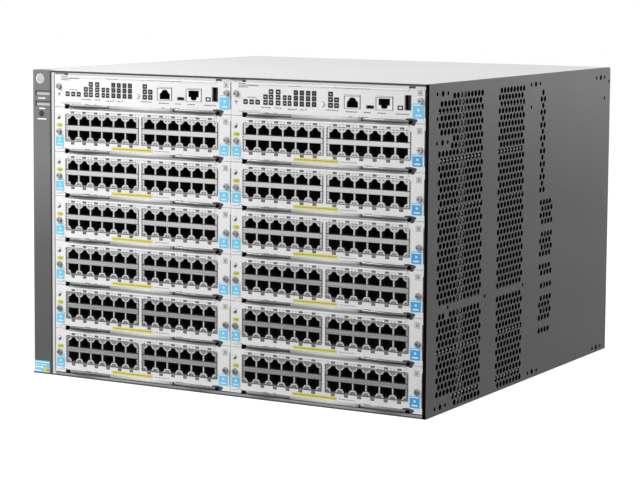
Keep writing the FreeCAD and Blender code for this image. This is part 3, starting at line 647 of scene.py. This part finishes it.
def board_parts():
    """Chips, heat sinks and small components on a module's board."""
    build = Build()
    base = 11.2             # top of the board
    for number in range(6):
        chip(build, 20.0 + number * 29.0, 44.0, (14.0, 14.0), 1.4, base)
        chip(build, 22.0 + number * 29.0, 28.0, (16.0, 9.0), 2.2, base)
    for x in (30.0, 128.0):
        heat_sink(build, x, 92.0, 38.0, 16.0, base, 12)
    for number in range(4):
        chip(build, 84.0 + (number % 2) * 20.0, 92.0 + (number // 2) * 22.0, (12.0, 18.0), 1.2, base)
    for number in range(10):
        build.disc((24.0 + number * 17.0, 158.0), 3.2, "z", (base, base + 9.0), "sink", 16)
    for number in range(5):
        chip(build, 24.0 + number * 34.0, 182.0, (16.0, 12.0), 6.0, base, "black")
    return build.mesh("board_parts")


def lever_mesh(turn):
    """Cast lever: round head, belly near the pivot and a long taper, with a rivet."""
    build = Build()
    upper = [(-3.0, 4.9), (-3.0, -1.2), (-2.4, -2.4), (-1.2, -3.0), (4.0, -3.9), (10.0, -4.6), (16.0, -4.85),
             (22.0, -4.6), (30.0, -3.6), (38.0, -2.5), (44.2, -1.75), (45.6, -1.1), (46.0, -0.2)]
    lower = [(44.0, 0.15), (34.0, 0.2), (22.0, 0.7), (12.0, 1.6), (6.0, 2.5), (2.6, 3.0), (1.6, 3.8),
             (1.2, 4.9)]
    outline = [(turn * x, y) for x, y in upper + lower]
    build.prism(outline, "z", LEVER_Z, "chrome")
    build.disc((0.0, 0.0), 1.5, "z", (LEVER_Z[1] - 0.05, LEVER_Z[1] + 0.3), "screw", 20)
    return build.mesh("lever_left" if turn > 0 else "lever_right")


def dress_modules():
    jacks, dress, screws, parts = port_jacks(), port_dress(), port_screws(), board_parts()
    prints = [port_print("blue"), port_print("deep_blue")]
    levers = {"left": lever_mesh(1), "right": lever_mesh(-1)}
    service = {"print": management_print(), "jacks": management_jacks(), "trim": management_trim()}
    for body, short, left, low in slots():
        if body.startswith("port"):
            place(jacks, short + "_jacks", body, left, low, FACE_Y)
            place(dress, short + "_dress", body, left, low, FACE_Y, bevel=0.15)
            place(prints[left > 0], short + "_print", body, left, low, FACE_Y)
            place(screws, short + "_screws", body, left, low, FACE_Y)
            areas = port_areas()
        else:
            for kind, mesh in service.items():
                place(mesh, short + "_" + kind, body, left, low, FACE_Y)
            areas = management_areas()
            coat(body + "_mode_button", [], "lip")
        place(parts, short + "_components", body, left, low, FACE_Y)
        coat(body, module_rules(left, low, areas), "plated")
        for side in ("left", "right"):
            node = body + "_" + side + "_lever"
            name = short + "_" + side + "_lever_arm"
            x = left + PIVOT_IN if side == "left" else left + MODULE_W - PIVOT_IN
            piece = place(levers[side], name, node, x, low, FACE_Y + PIVOT_Y, bevel=0.3)
            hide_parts(node)


def module_rules(left, low, own):
    """Looks of a module's solids; own holds (look, x, y, z) from its left side, face and row line."""
    board = ("board", (0, MODULE_W), (5.9, 252.1), (9.55, 11.25))
    plug = ("black", (60, 146), (245, 259), (11.1, 21))
    face = ("face", (0, MODULE_W), (-0.1, 1.7), (0, ROW))
    return [
        (look, within((left + x[0], left + x[1]), (FACE_Y + y[0], FACE_Y + y[1]), (low + z[0], low + z[1])))
        for look, x, y, z in [board, plug] + own + [face]
    ]


def port_areas():
    """Jack blocks: dark in front and inside, plated outside."""
    areas = []
    z = (BLOCK_Z, BLOCK_Z + BLOCK_H)
    for start in BLOCK_LEFTS:
        x = (start, start + BLOCK_W)
        areas.append(("cavity", x, (0.2, 0.81), z))
        areas.append(("cavity", (x[0] + 1.0, x[1] - 1.0), (0.7, 12.9), (z[0] + 0.5, z[1] - 0.5)))
        areas.append(("shield", x, (0.2, 21.0), z))
    return areas


# ---- management module ------------------------------------------------------------------------
# left side, width, rows with a square (0 at the top), half width of the pale middle
SQUARES = (
    (13.3, 5.0, (2,), 1.1), (20.1, 4.9, (2,), 1.1), (26.6, 5.1, (2,), 1.1),
    (35.3, 5.0, (1, 2), 1.1), (41.3, 5.0, (0, 1, 2), 1.1), (49.0, 5.1, (0, 1, 2), 1.1),
    (56.7, 4.1, (1, 2), 0.8), (61.9, 4.1, (1, 2), 0.8), (68.3, 4.9, (0, 1, 2), 0.45),
    (74.8, 4.8, (0, 1, 2), 0.45), (81.5, 4.8, (0, 1, 2), 0.45), (87.9, 4.9, (0, 1, 2), 0.45),
    (105.2, 5.2, (0, 1, 2), 0.9), (111.6, 5.2, (1, 2), 0.9),
)
SQUARE_ROWS = ((21.3, 26.0), (16.2, 20.9), (10.9, 15.7))
# left and right end, height above the row line
SMALL_PRINT = (
    (8.0, 24.0, 30.0), (8.0, 30.0, 28.3), (8.0, 18.0, 26.7), (98.0, 108.0, 29.6), (110.0, 150.0, 29.4),
    (62.0, 76.0, 29.3), (18.0, 28.0, 17.2), (33.0, 42.0, 8.2), (48.0, 53.0, 8.2), (62.0, 70.0, 7.4),
    (75.0, 80.0, 7.4), (103.0, 116.0, 8.4), (124.0, 136.0, 7.7), (143.0, 150.0, 7.7), (157.0, 166.0, 7.7),
    (176.0, 190.0, 7.7),
)
# centre from the module's left side, base of the wide part, way of the latch, shape, left side of its frame
MANAGEMENT_JACKS = (
    (130.6, BLOCK_Z + 0.8, 1, STEPPED, 121.9), (163.7, BLOCK_Z + 10.3, -1, TAB, 155.7),
)


def management_print():
    """Lamp squares, small print, stickers, and painted shadow along the right and top of the jacks."""
    build = Build()
    for x, width, rows, half in SQUARES:
        for row in rows:
            z = SQUARE_ROWS[row]
            middle, centre = x + width / 2, (z[0] + z[1]) / 2
            build.rounded((x, x + width), z, 0.5, (-0.06, 0.0), "black")
            build.rounded((middle - half, middle + half), (centre - half * 0.42, centre + half * 0.42), 0.1,
                          (-0.2, -0.06), "pipe")
    for x in (42.7, 54.2, 71.2, 81.7):
        build.prism([(x - 0.8, 7.9), (x + 0.8, 7.9), (x, 9.4)], "y", SEAM_Y, "ink")
    for first, last, z in SMALL_PRINT:
        print_line(build, (first, last), z, 0.8, "ink")
    blue_label(build, (193.4, 204.7), (4.6, 18.3))
    square_mark(build, (198.0, 203.2), (25.6, 30.6))
    build.rounded((177.7, 183.5), (11.6, 15.9), 0.4, SEAM_Y, "ink")
    build.rounded((179.2, 182.0), (12.9, 14.6), 0.3, (-0.09, -0.05), "white")
    # painted shadow: dark lines along the right and top edges of each jack
    for _, _, _, _, x in MANAGEMENT_JACKS:
        build.box((x + 16.6, x + 17.5), INK_Y, (BLOCK_Z - 0.4, BLOCK_Z + 12.6), "ink")
        build.box((x, x + 17.5), INK_Y, (BLOCK_Z + 12.2, BLOCK_Z + 12.7), "grey_ink")
    lever_marks(build, ((36.5, 41.5), (47.5, 50.5), (127.0, 131.0), (137.0, 148.0)))
    for z in (4.0, 5.0):
        build.box((13.0, 32.0), INK_Y, (z - 0.15, z + 0.15), "grey_ink")
    hook = [(4.0, 14.2), (7.0, 13.4), (7.0, 12.6), (5.6, 12.4), (5.6, 10.6), (4.9, 10.6), (4.9, 12.8),
            (4.0, 13.2)]
    build.prism(hook, "y", INK_Y, "ink")
    build.box((MODULE_W - 0.7, MODULE_W), SEAM_Y, (5.5, 31.0), "ink")
    return build.mesh("management_print")


def button_shadow(build, x, z):
    """Dark crescent on the right half of the mode button's well."""
    turns = [math.radians(degrees) for degrees in range(-90, 91, 15)]
    outer = [(x + 2.35 * math.cos(t), z + 2.35 * math.sin(t)) for t in turns]
    inner = [(x - 0.9 + 1.3 * math.cos(t), z + 1.6 * math.sin(t)) for t in reversed(turns)]
    build.prism(outer + inner, "y", SEAM_Y, "ink")


def management_jacks():
    """Fronts of the two jacks, and the rims and tongues of the two sockets."""
    build = Build()
    for middle, base, way, shape, _ in MANAGEMENT_JACKS:
        outline = rectangle((middle - 8.35, middle + 8.35), (BLOCK_Z, BLOCK_Z + 11.1))
        build.sheet(outline, [jack_outline(middle, base, way, shape)], "y", SHEET_Y, "white")
        contacts(build, middle, base, way)
    sockets = (((185.1, 191.3), (12.0, 25.4), 1.1, 6.1), ((145.6, 153.0), (12.0, 14.6), 2.6, 0.4))
    for x, z, wide, high in sockets:
        frame_ring(build, x, z, 0.4, (-0.2, 0.0), "grey_ink")
        middle, centre = (x[0] + x[1]) / 2, (z[0] + z[1]) / 2
        build.box((middle - wide, middle + wide), (3.0, 11.0), (centre - high, centre + high), "black")
    button_shadow(build, MODULE_W - 107.2, 14.0)
    return build.mesh("management_jacks")


def management_trim():
    """Folded top edge, rolled lower edge and the captive screws."""
    build = Build()
    # the folded top edge is paler than the face: partly painted highlight where it catches light
    build.box((16.6, 189.4), (-0.7, 0.0), (29.9, 31.4), "lip")
    build.box((1.0, 205.0), (-0.3, 0.0), (31.9, 33.6), "shield")
    for x, low in ((0.5, 12.2), 33.0), ((12.2, 16.6), 31.9), ((189.4, 196.0), 31.9):
        build.box(x, (-0.36, -0.3), (low, 33.6), "ink")
    lever_channel(build)
    for x in (5.2, 201.0):
        captive_screw(build, x, 20.6)
    return build.mesh("management_trim")


def management_areas():
    """Jacks and sockets, dark inside, and the switch behind the mode button."""
    areas = []
    for middle, *_ in MANAGEMENT_JACKS:
        inner, outer = (middle - 6.2, middle + 6.2), (middle - 8.4, middle + 8.4)
        areas.append(("cavity", inner, (0.7, 12.9), (BLOCK_Z + 0.5, BLOCK_Z + 10.6)))
        areas.append(("shield", outer, (0.7, 21.0), (BLOCK_Z - 0.1, BLOCK_Z + 11.2)))
    for middle, half in ((188.2, 4.0), (149.3, 4.6)):
        inner, outer = (middle - half + 0.9, middle + half - 0.9), (middle - half, middle + half)
        areas.append(("cavity", inner, (1.7, 13.0), (BLOCK_Z + 0.7, BLOCK_Z + 14.3)))
        areas.append(("black", outer, (1.7, 13.0), (BLOCK_Z - 0.1, BLOCK_Z + 15.2)))
    return areas + [("black", (95, 103), (3.0, 13.0), (11, 17))]


# ---- side panels, cover, bezel ------------------------------------------------------------------
REAR_ROWS = (18, 19, 20, 21, 23, 24, 25, 26, 28, 29, 31, 33, 34, 35, 36, 38)


def lattice():
    """Centres (y from the front, drop from the top) of the vent holes: a front, a middle and a rear field."""
    holes = []
    for row in range(45):
        drop = 12.6 + 6.556 * row
        even = row % 2 == 0
        if row != 30:
            start, count = (21.8, 13) if even else (25.7, 12)
            front = [start + 7.53 * number for number in range(count)]
            limit = {0: 51.0, 6: 51.0, 7: 47.0, 43: 49.0, 44: 53.0}.get(row, 0.0)
            holes += [(y, drop) for y in front if y > limit and not (row == 31 and 40.0 < y < 42.0)]
            start = 155.7 if even else 151.8
            holes += [(start + 7.47 * number, drop) for number in range(8)]
        if row % 2 and row < 16:
            holes.append((255.9, drop))
        if not row % 2 and 2 <= row <= 16:
            holes += [(252.0, drop), (259.9, drop)]
        if row in REAR_ROWS:
            start = 254.0 if even else 258.0
            holes += [(start + 7.6 * number, drop) for number in range(4)]
    return holes


VENT_RADIUS = 3.0
# first, middle and last hole of each trio from the front, and its drop from the top
EAR_TRIOS = (
    (16.5, 27.7, 38.5, 9.8), (16.5, 27.7, 38.5, 54.7), (17.9, 29.4, 40.2, 300.4), (226.0, 237.0, 248.0, 10.0),
    (227.5, 238.4, 249.5, 301.0), (396.5, 408.0, 418.8, 10.3), (398.0, 408.7, 419.8, 301.8),
)
SMALL_HOLES = ((16.8, 32.4), (226.5, 32.4), (418.8, 32.4), (431.4, 15.0), (43.0, 208.8), (123.7, 208.8),
               (212.5, 208.8))


def side_panel(side):
    """Sheet with its round vent holes, whose walls are painted black as shade; the right one has the folded
    edge, and what its holes show: card ledges, a post, and a black sheet behind them as painted shade.
    """
    right = side == "right"
    span = (RIGHT - 1.2, RIGHT) if right else (LEFT, LEFT + 1.2)
    start = 0.0 if right else 12.2
    turns = [math.radians(t) for t in (0, 18, 36, 54, 72, 90)]
    corner = [(REAR_Y - 4 + 4 * math.sin(t), TOP - 4 + 4 * math.cos(t)) for t in turns]
    outline = [(FACE_Y + start, 0.0), (FACE_Y + start, TOP)] + corner + [(REAR_Y, 0.0)]
    round_holes = [(y, drop, VENT_RADIUS, 12) for y, drop in lattice()]
    for first, middle, last, drop in EAR_TRIOS:
        round_holes += [(first, drop, 2.0, 10), (middle, drop, 2.8, 16), (last, drop, 2.0, 10)]
    round_holes += [(y, drop, 1.9, 10) for y, drop in SMALL_HOLES]
    holes = [circle((FACE_Y + y, TOP - drop), radius, sides) for y, drop, radius, sides in round_holes]
    build = Build()
    # the holes' walls are black: painted shade inside the holes
    build.sheet(outline, holes, "x", span, "side", "void")
    if right:
        wall, high = RIGHT - 2.9, (1.4, TOP - 1.4)
        build.box((RIGHT - 3.6, RIGHT - 1.2), (FACE_Y, FACE_Y + 1.2), high, "side")
        for row in range(7):
            z = ROW_LINE + row * ROW + 8.2
            build.box((wall, span[0]), (FACE_Y + 12.0, FACE_Y + 252.0), (z, z + 1.2), "plated")
        build.box((wall, wall + 0.8), (FACE_Y + 67.0, FACE_Y + 79.0), high, "badge")
        # black sheet behind the ledges: painted shade inside the chassis, seen through the holes
        build.box((wall - 0.4, wall), (FACE_Y + 12.0, FACE_Y + 265.0), high, "void")
    return build.mesh(side + "_skin")


def dress_chassis():
    for side in ("left", "right"):
        piece = place(side_panel(side), side + "_side_skin", "root")
        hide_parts(side + "_side_panel")
    coat("top_cover", [], "cover")
    flange = within((LEFT + 22.0, LEFT + 29.0), (FACE_Y - 0.1, FACE_Y + 0.1), (0, TOP))
    for node in ("base_pan", "fan_partition", "centre_divider"):
        coat(node, [("pipe", flange)], "plated")
    backplane_y = FACE_Y + 266.0
    board = within((LEFT, RIGHT), (backplane_y, backplane_y + 3.0), (0, TOP))
    coat("backplane", [("board", board)], "black")
    bezel = place(bezel_mesh(), "bezel_shell", "root", bevel=0.4)
    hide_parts("front_bezel")
    place(bezel_trim(), "bezel_trim", "root")
    place(front_seams(), "front_seams", "root")


def bezel_mesh():
    """Moulded shell with a rounded outer edge and two badge recesses."""
    build = Build()
    left, right, back = LEFT + 0.15, LEFT + 22.4, FACE_Y + 12.0
    arc = [(left + 3 - 3 * math.cos(math.radians(t)), FACE_Y + 3 - 3 * math.sin(math.radians(t)))
           for t in (0, 15, 30, 45, 60, 75, 90)]
    inside = [(right, back), (right - 2.0, back), (right - 2.0, FACE_Y + 4.0), (LEFT + 3.4, FACE_Y + 4.0),
              (LEFT + 2.0, FACE_Y + 5.4), (LEFT + 2.0, back)]
    solid = [(left, back)] + arc + [(right, FACE_Y), (right, back)]
    wall = [(left, back)] + arc + [(right, FACE_Y)] + inside
    recess = [(LEFT + 4.6, FACE_Y), (LEFT + 4.6, FACE_Y + 1.0), (right, FACE_Y + 1.0)]
    notch = [(left, back)] + arc[:5] + recess + inside
    levels = (0.0, 2.0, 270.7, 275.9, 281.2, 286.4, TOP - 2.0, TOP)
    for outline, low, high in zip((solid, wall, notch, wall, notch, wall, solid), levels, levels[1:]):
        build.prism(outline, "z", (low, high), "bezel")
    return build.mesh("bezel_shell")


def bezel_trim():
    """Round badge, strips in the recesses with painted shadow along their left and upper edges, lamp, pale
    bars and the coloured label on the bezel.
    """
    build = Build()
    y = FACE_Y
    badge = (LEFT + 10.5, 298.3)

    def plate(x, z, depth, look, radius=0.0):
        """Plate at x from the bezel's left side, between two depths behind its front."""
        x = (LEFT + x[0], LEFT + x[1])
        outline = rounded_outline(x, z, radius) if radius else rectangle(x, z)
        build.prism(outline, "y", (y + depth[0], y + depth[1]), look)

    build.disc(badge, 4.9, "y", (y - 0.06, y), "badge", 32)
    rim = circle((badge[0] + 0.25, badge[1] - 0.1), 4.45, 32)
    build.sheet(circle(badge, 4.9, 32), [rim], "y", (y - 0.1, y - 0.06), "white")
    for top in (286.4, 275.9):
        plate((4.6, 21.8), (top - 5.2, top), (0.8, 1.0), "bezel")
        plate((6.0, 21.8), (top - 4.4, top - 2.0), (0.6, 0.8), "badge")
        # the dark bars on each recess's left and upper edges are painted shadow
        plate((4.6, 5.4), (top - 5.2, top), (0.6, 0.8), "ink")
        plate((4.6, 21.8), (top - 0.6, top), (0.6, 0.8), "ink")
    for x, z in (((8.0, 17.0), (278.2, 279.5)), ((9.0, 16.5), (267.9, 269.2)), ((7.0, 18.0), (257.4, 258.7))):
        plate(x, z, SEAM_Y, "white", 0.5)
    build.disc((LEFT + 12.0, 263.5), 2.9, "y", (y - 0.3, y), "black", 24)
    build.disc((LEFT + 11.6, 263.9), 1.5, "y", (y - 0.5, y - 0.3), "lamp", 20)
    plate((1.7, 20.5), (1.4, 13.2), (-0.08, 0.0), "blue", 0.6)
    for end, z, look in ((19.8, (11.0, 12.4), "pale_blue"), (17.0, (8.4, 9.4), "pale_blue"),
                         (12.6, (5.8, 7.2), "white"), (10.0, (2.2, 3.4), "white")):
        plate((2.4, end), z, (-0.11, -0.08), look, 0.3)
    plate((12.6, 20.0), (1.8, 6.6), (-0.12, -0.08), "oval", 0.5)
    plate((17.0, 19.4), (3.4, 5.2), (-0.16, -0.12), "ochre", 0.5)
    return build.mesh("bezel_trim")


def front_seams():
    """Painted shade in the grooves between bezel, flange and modules (a black fill and dark lines), black
    blobs at the groove's ends, and the dark and grey edges of cover, floor and right side; the right side's
    dark edge is painted shadow.
    """
    build = Build()
    y = FACE_Y
    seam = (y - 0.05, y)
    # painted shade: black fill at the back of the groove beside the bezel, and dark lines over the grooves
    build.box((LEFT + 22.5, LEFT + 24.5), (y + 1.5, y + 6.0), (1.4, TOP - 1.4), "black")
    build.box((LEFT + 27.6, LEFT + 28.2), (y - 0.06, y), (4.2, TOP - 3.0), "ink")
    build.box((LEFT + 22.5, LEFT + 24.3), seam, (1.5, TOP - 3.0), "ink")
    for z in ((1.4, 6.4), (TOP - 6.4, TOP - 1.4)):
        build.rounded((LEFT + 22.5, LEFT + 25.6), z, 1.2, (y + 0.6, y + 1.5), "black")
    build.box((LEFT + 22.5, RIGHT - 0.2), seam, (TOP - 2.1, TOP - 0.35), "ink")
    build.box((LEFT + 0.2, RIGHT - 0.2), seam, (0.1, 1.5), "ink")
    build.box((LEFT + 28.4, RIGHT - 0.2), seam, (1.5, 3.6), "grey_ink")
    # painted shadow: the dark strip over the right side's front edge
    build.box((RIGHT - 3.4, RIGHT - 0.2), seam, (0.2, TOP - 0.2), "void")
    return build.mesh("front_seams")


# ---- rear units ----------------------------------------------------------------------------------
BACK = REAR_Y + 1.8         # outside of the rear plates


def supply_rear(name, left, low):
    """Vent plate, inlet pins and frame, corner screws and lamp of one power supply."""
    build = Build()
    holes = [circle((left + 14.0 + column * 5.6 + (2.8 if row % 2 else 0.0), low + 13.0 + row * 4.9), 1.9, 10)
             for row in range(11) for column in range(15)]
    outline = rounded_outline((left + 8.0, left + 104.0), (low + 7.0, low + 68.0), 2.0)
    build.sheet(outline, holes, "y", (BACK, BACK + 0.6), "plated")
    # black sheet behind the vent holes: painted shade inside the supply
    build.box((left + 9.0, left + 103.0), (BACK, BACK + 0.05), (low + 8.0, low + 67.0), "cavity")
    x, z = left + 166.0, low + 43.0
    for across, up in ((-5.5, 0.0), (0.0, 3.0), (5.5, 0.0)):
        pin = (x + across - 1.0, x + across + 1.0)
        build.box(pin, (BACK - 13.5, BACK - 3.0), (z - 2.5 + up, z + 2.5 + up), "screw")
    frame_ring(build, (x - 14.0, x + 14.0), (z - 10.0, z + 10.0), 1.6, (BACK, BACK + 0.8), "black")
    for up in (5.0, 81.0):
        for across in (4.0, 196.0):
            build.disc((left + across, low + up), 2.2, "y", (BACK, BACK + 0.9), "screw", 16)
    build.disc((left + 130.0, low + 60.0), 1.6, "y", (BACK, BACK + 0.6), "lamp", 16)
    return build.mesh(name)


def dress_rear():
    bays = [(left, 5.0 + row * 91.0) for row in range(2) for left in (-188.7, 13.1)]
    for number, (left, low) in enumerate(bays, 1):
        body = "power_supply_" + str(number)
        x, z = left + 166.0, low + 43.0
        inlet = within((x - 14.1, x + 14.1), (BACK - 14.1, BACK - 0.1), (z - 10.1, z + 10.1))
        coat(body, [("cavity", inlet)], "plated")
        place(supply_rear(body + "_rear", left, low), "supply_" + str(number) + "_rear", body)
    ducts = within((LEFT, 0), (FACE_Y + 19.0, FACE_Y + 114.1), (0, TOP))
    coat("fan_tray", [("black", ducts)], "plated")
    for number in range(1, 4):
        coat("fan_rotor_" + str(number), [], "black")
    build = Build()
    middle = -209.6
    for z in (16.0, 280.0):
        build.disc((middle, z), 4.2, "y", (BACK, BACK + 5.0), "screw", 24)
    build.disc((middle, 215.0), 1.6, "y", (BACK, BACK + 0.5), "lamp", 16)
    place(build.mesh("fan_tray_rear"), "fan_tray_rear", "fan_tray")


# ---- stage ---------------------------------------------------------------------------------------
def add_camera():
    """Camera at the photograph's angle, a little above the top and to the right."""
    data = bpy.data.cameras.new("camera")
    data.sensor_width = 36.0
    data.lens = 120.0
    data.shift_x, data.shift_y = -0.05516, -0.1
    data.clip_end = 50.0
    yaw, pitch, roll = (math.radians(degrees) for degrees in (-28.579, -5.539, 0.507))
    forward = Vector((math.sin(yaw) * math.cos(pitch), math.cos(yaw) * math.cos(pitch), math.sin(pitch)))
    right = Vector((math.cos(yaw), -math.sin(yaw), 0.0))
    up = right.cross(forward)
    side = math.cos(roll) * right + math.sin(roll) * up
    high = -math.sin(roll) * right + math.cos(roll) * up
    camera = linked("camera", data)
    rotation = Matrix((side, high, -forward)).transposed().to_4x4()
    camera.matrix_world = Matrix.Translation(Vector((1.0829, -1.7179 + FACE_Y * 0.001, 0.4097))) @ rotation
    bpy.context.scene.camera = camera


def area_light(name, position, aim, size, power):
    data = bpy.data.lights.new(name, "AREA")
    data.shape = "RECTANGLE"
    data.size, data.size_y = size
    data.energy = power
    made = linked(name, data)
    made.location = position
    made.rotation_mode = "QUATERNION"
    made.rotation_quaternion = (Vector(aim) - Vector(position)).to_track_quat("-Z", "Y")


def seen_directly(tree):
    """1 for rays from the camera, in a mirror or through glass, and 0 for the rest."""
    path = tree.nodes.new("ShaderNodeLightPath")
    total = path.outputs["Is Camera Ray"]
    for name in ("Is Glossy Ray", "Is Transmission Ray"):
        add = tree.nodes.new("ShaderNodeMath")
        add.operation = "MAXIMUM"
        tree.links.new(total, add.inputs[0])
        tree.links.new(path.outputs[name], add.inputs[1])
        total = add.outputs["Value"]
    return total


def add_world():
    """White backdrop to the eye, which lights the object less than it shows."""
    world = bpy.data.worlds.new("studio")
    bpy.context.scene.world = world
    world.use_nodes = True
    tree = world.node_tree
    white = (1.0, 1.0, 1.0, 1.0)
    light = preset(tree.nodes["Background"], Color=white, Strength=0.30)
    backdrop = preset(tree.nodes.new("ShaderNodeBackground"), Color=white, Strength=1.0)
    mix = tree.nodes.new("ShaderNodeMixShader")
    tree.links.new(seen_directly(tree), mix.inputs["Fac"])
    tree.links.new(light.outputs["Background"], mix.inputs[1])
    tree.links.new(backdrop.outputs["Background"], mix.inputs[2])
    tree.links.new(mix.outputs["Shader"], tree.nodes["World Output"].inputs["Surface"])


def add_floor():
    """White floor: it looks white to the camera, keeps a soft shadow and bounces plain light."""
    size, low = 6000, -0.3
    build = Build()
    build.face([(x, y, low) for x, y in rectangle((-size, size), (-size, size))], "white")
    mesh = build.mesh("floor")
    made, tree, shader = material("floor_white", (0.8, 0.8, 0.8), 0.9)
    preset(shader, Specular_IOR_Level=0.0, Emission_Color=(1.0, 1.0, 1.0, 1.0))
    seen = seen_directly(tree)
    tree.links.new(blend_colors(tree, seen, (0.8, 0.8, 0.8), (0.3, 0.3, 0.3)), shader.inputs["Base Color"])
    glow = tree.nodes.new("ShaderNodeMath")
    glow.operation = "MULTIPLY"
    glow.inputs[1].default_value = 0.93
    tree.links.new(seen, glow.inputs[0])
    tree.links.new(glow.outputs["Value"], shader.inputs["Emission Strength"])
    mesh.materials.clear()
    mesh.materials.append(made)
    floor = linked("floor", mesh)


def add_studio():
    bpy.context.scene.view_settings.view_transform = "Standard"
    add_world()
    add_floor()
    area_light("key", (-0.75, -0.75, 0.85), (-0.05, -0.2, 0.16), (0.6, 0.6), 13.3)
    area_light("top", (0.45, 0.5, 1.9), (0.05, 0.05, 0.3), (1.4, 1.4), 17.0)
    area_light("side", (2.6, 0.4, 1.2), (0.2, 0.0, 0.2), (1.2, 1.6), 6.0)
    add_flag()


def add_flag():
    """Dark card flat on the floor in front, seen only in gloss, so bright metal keeps its dark side."""
    build = Build()
    corners = ((-700, -1150), (-150, -1750), (700, -1750), (700, -250), (-700, -250))
    build.face([(x, y, 0) for x, y in corners], "black")
    card = linked("flag", build.mesh("flag"))
    card.visible_camera = card.visible_diffuse = card.visible_shadow = card.visible_transmission = False


add_camera()
add_studio()
dress_modules()
dress_chassis()
dress_rear()
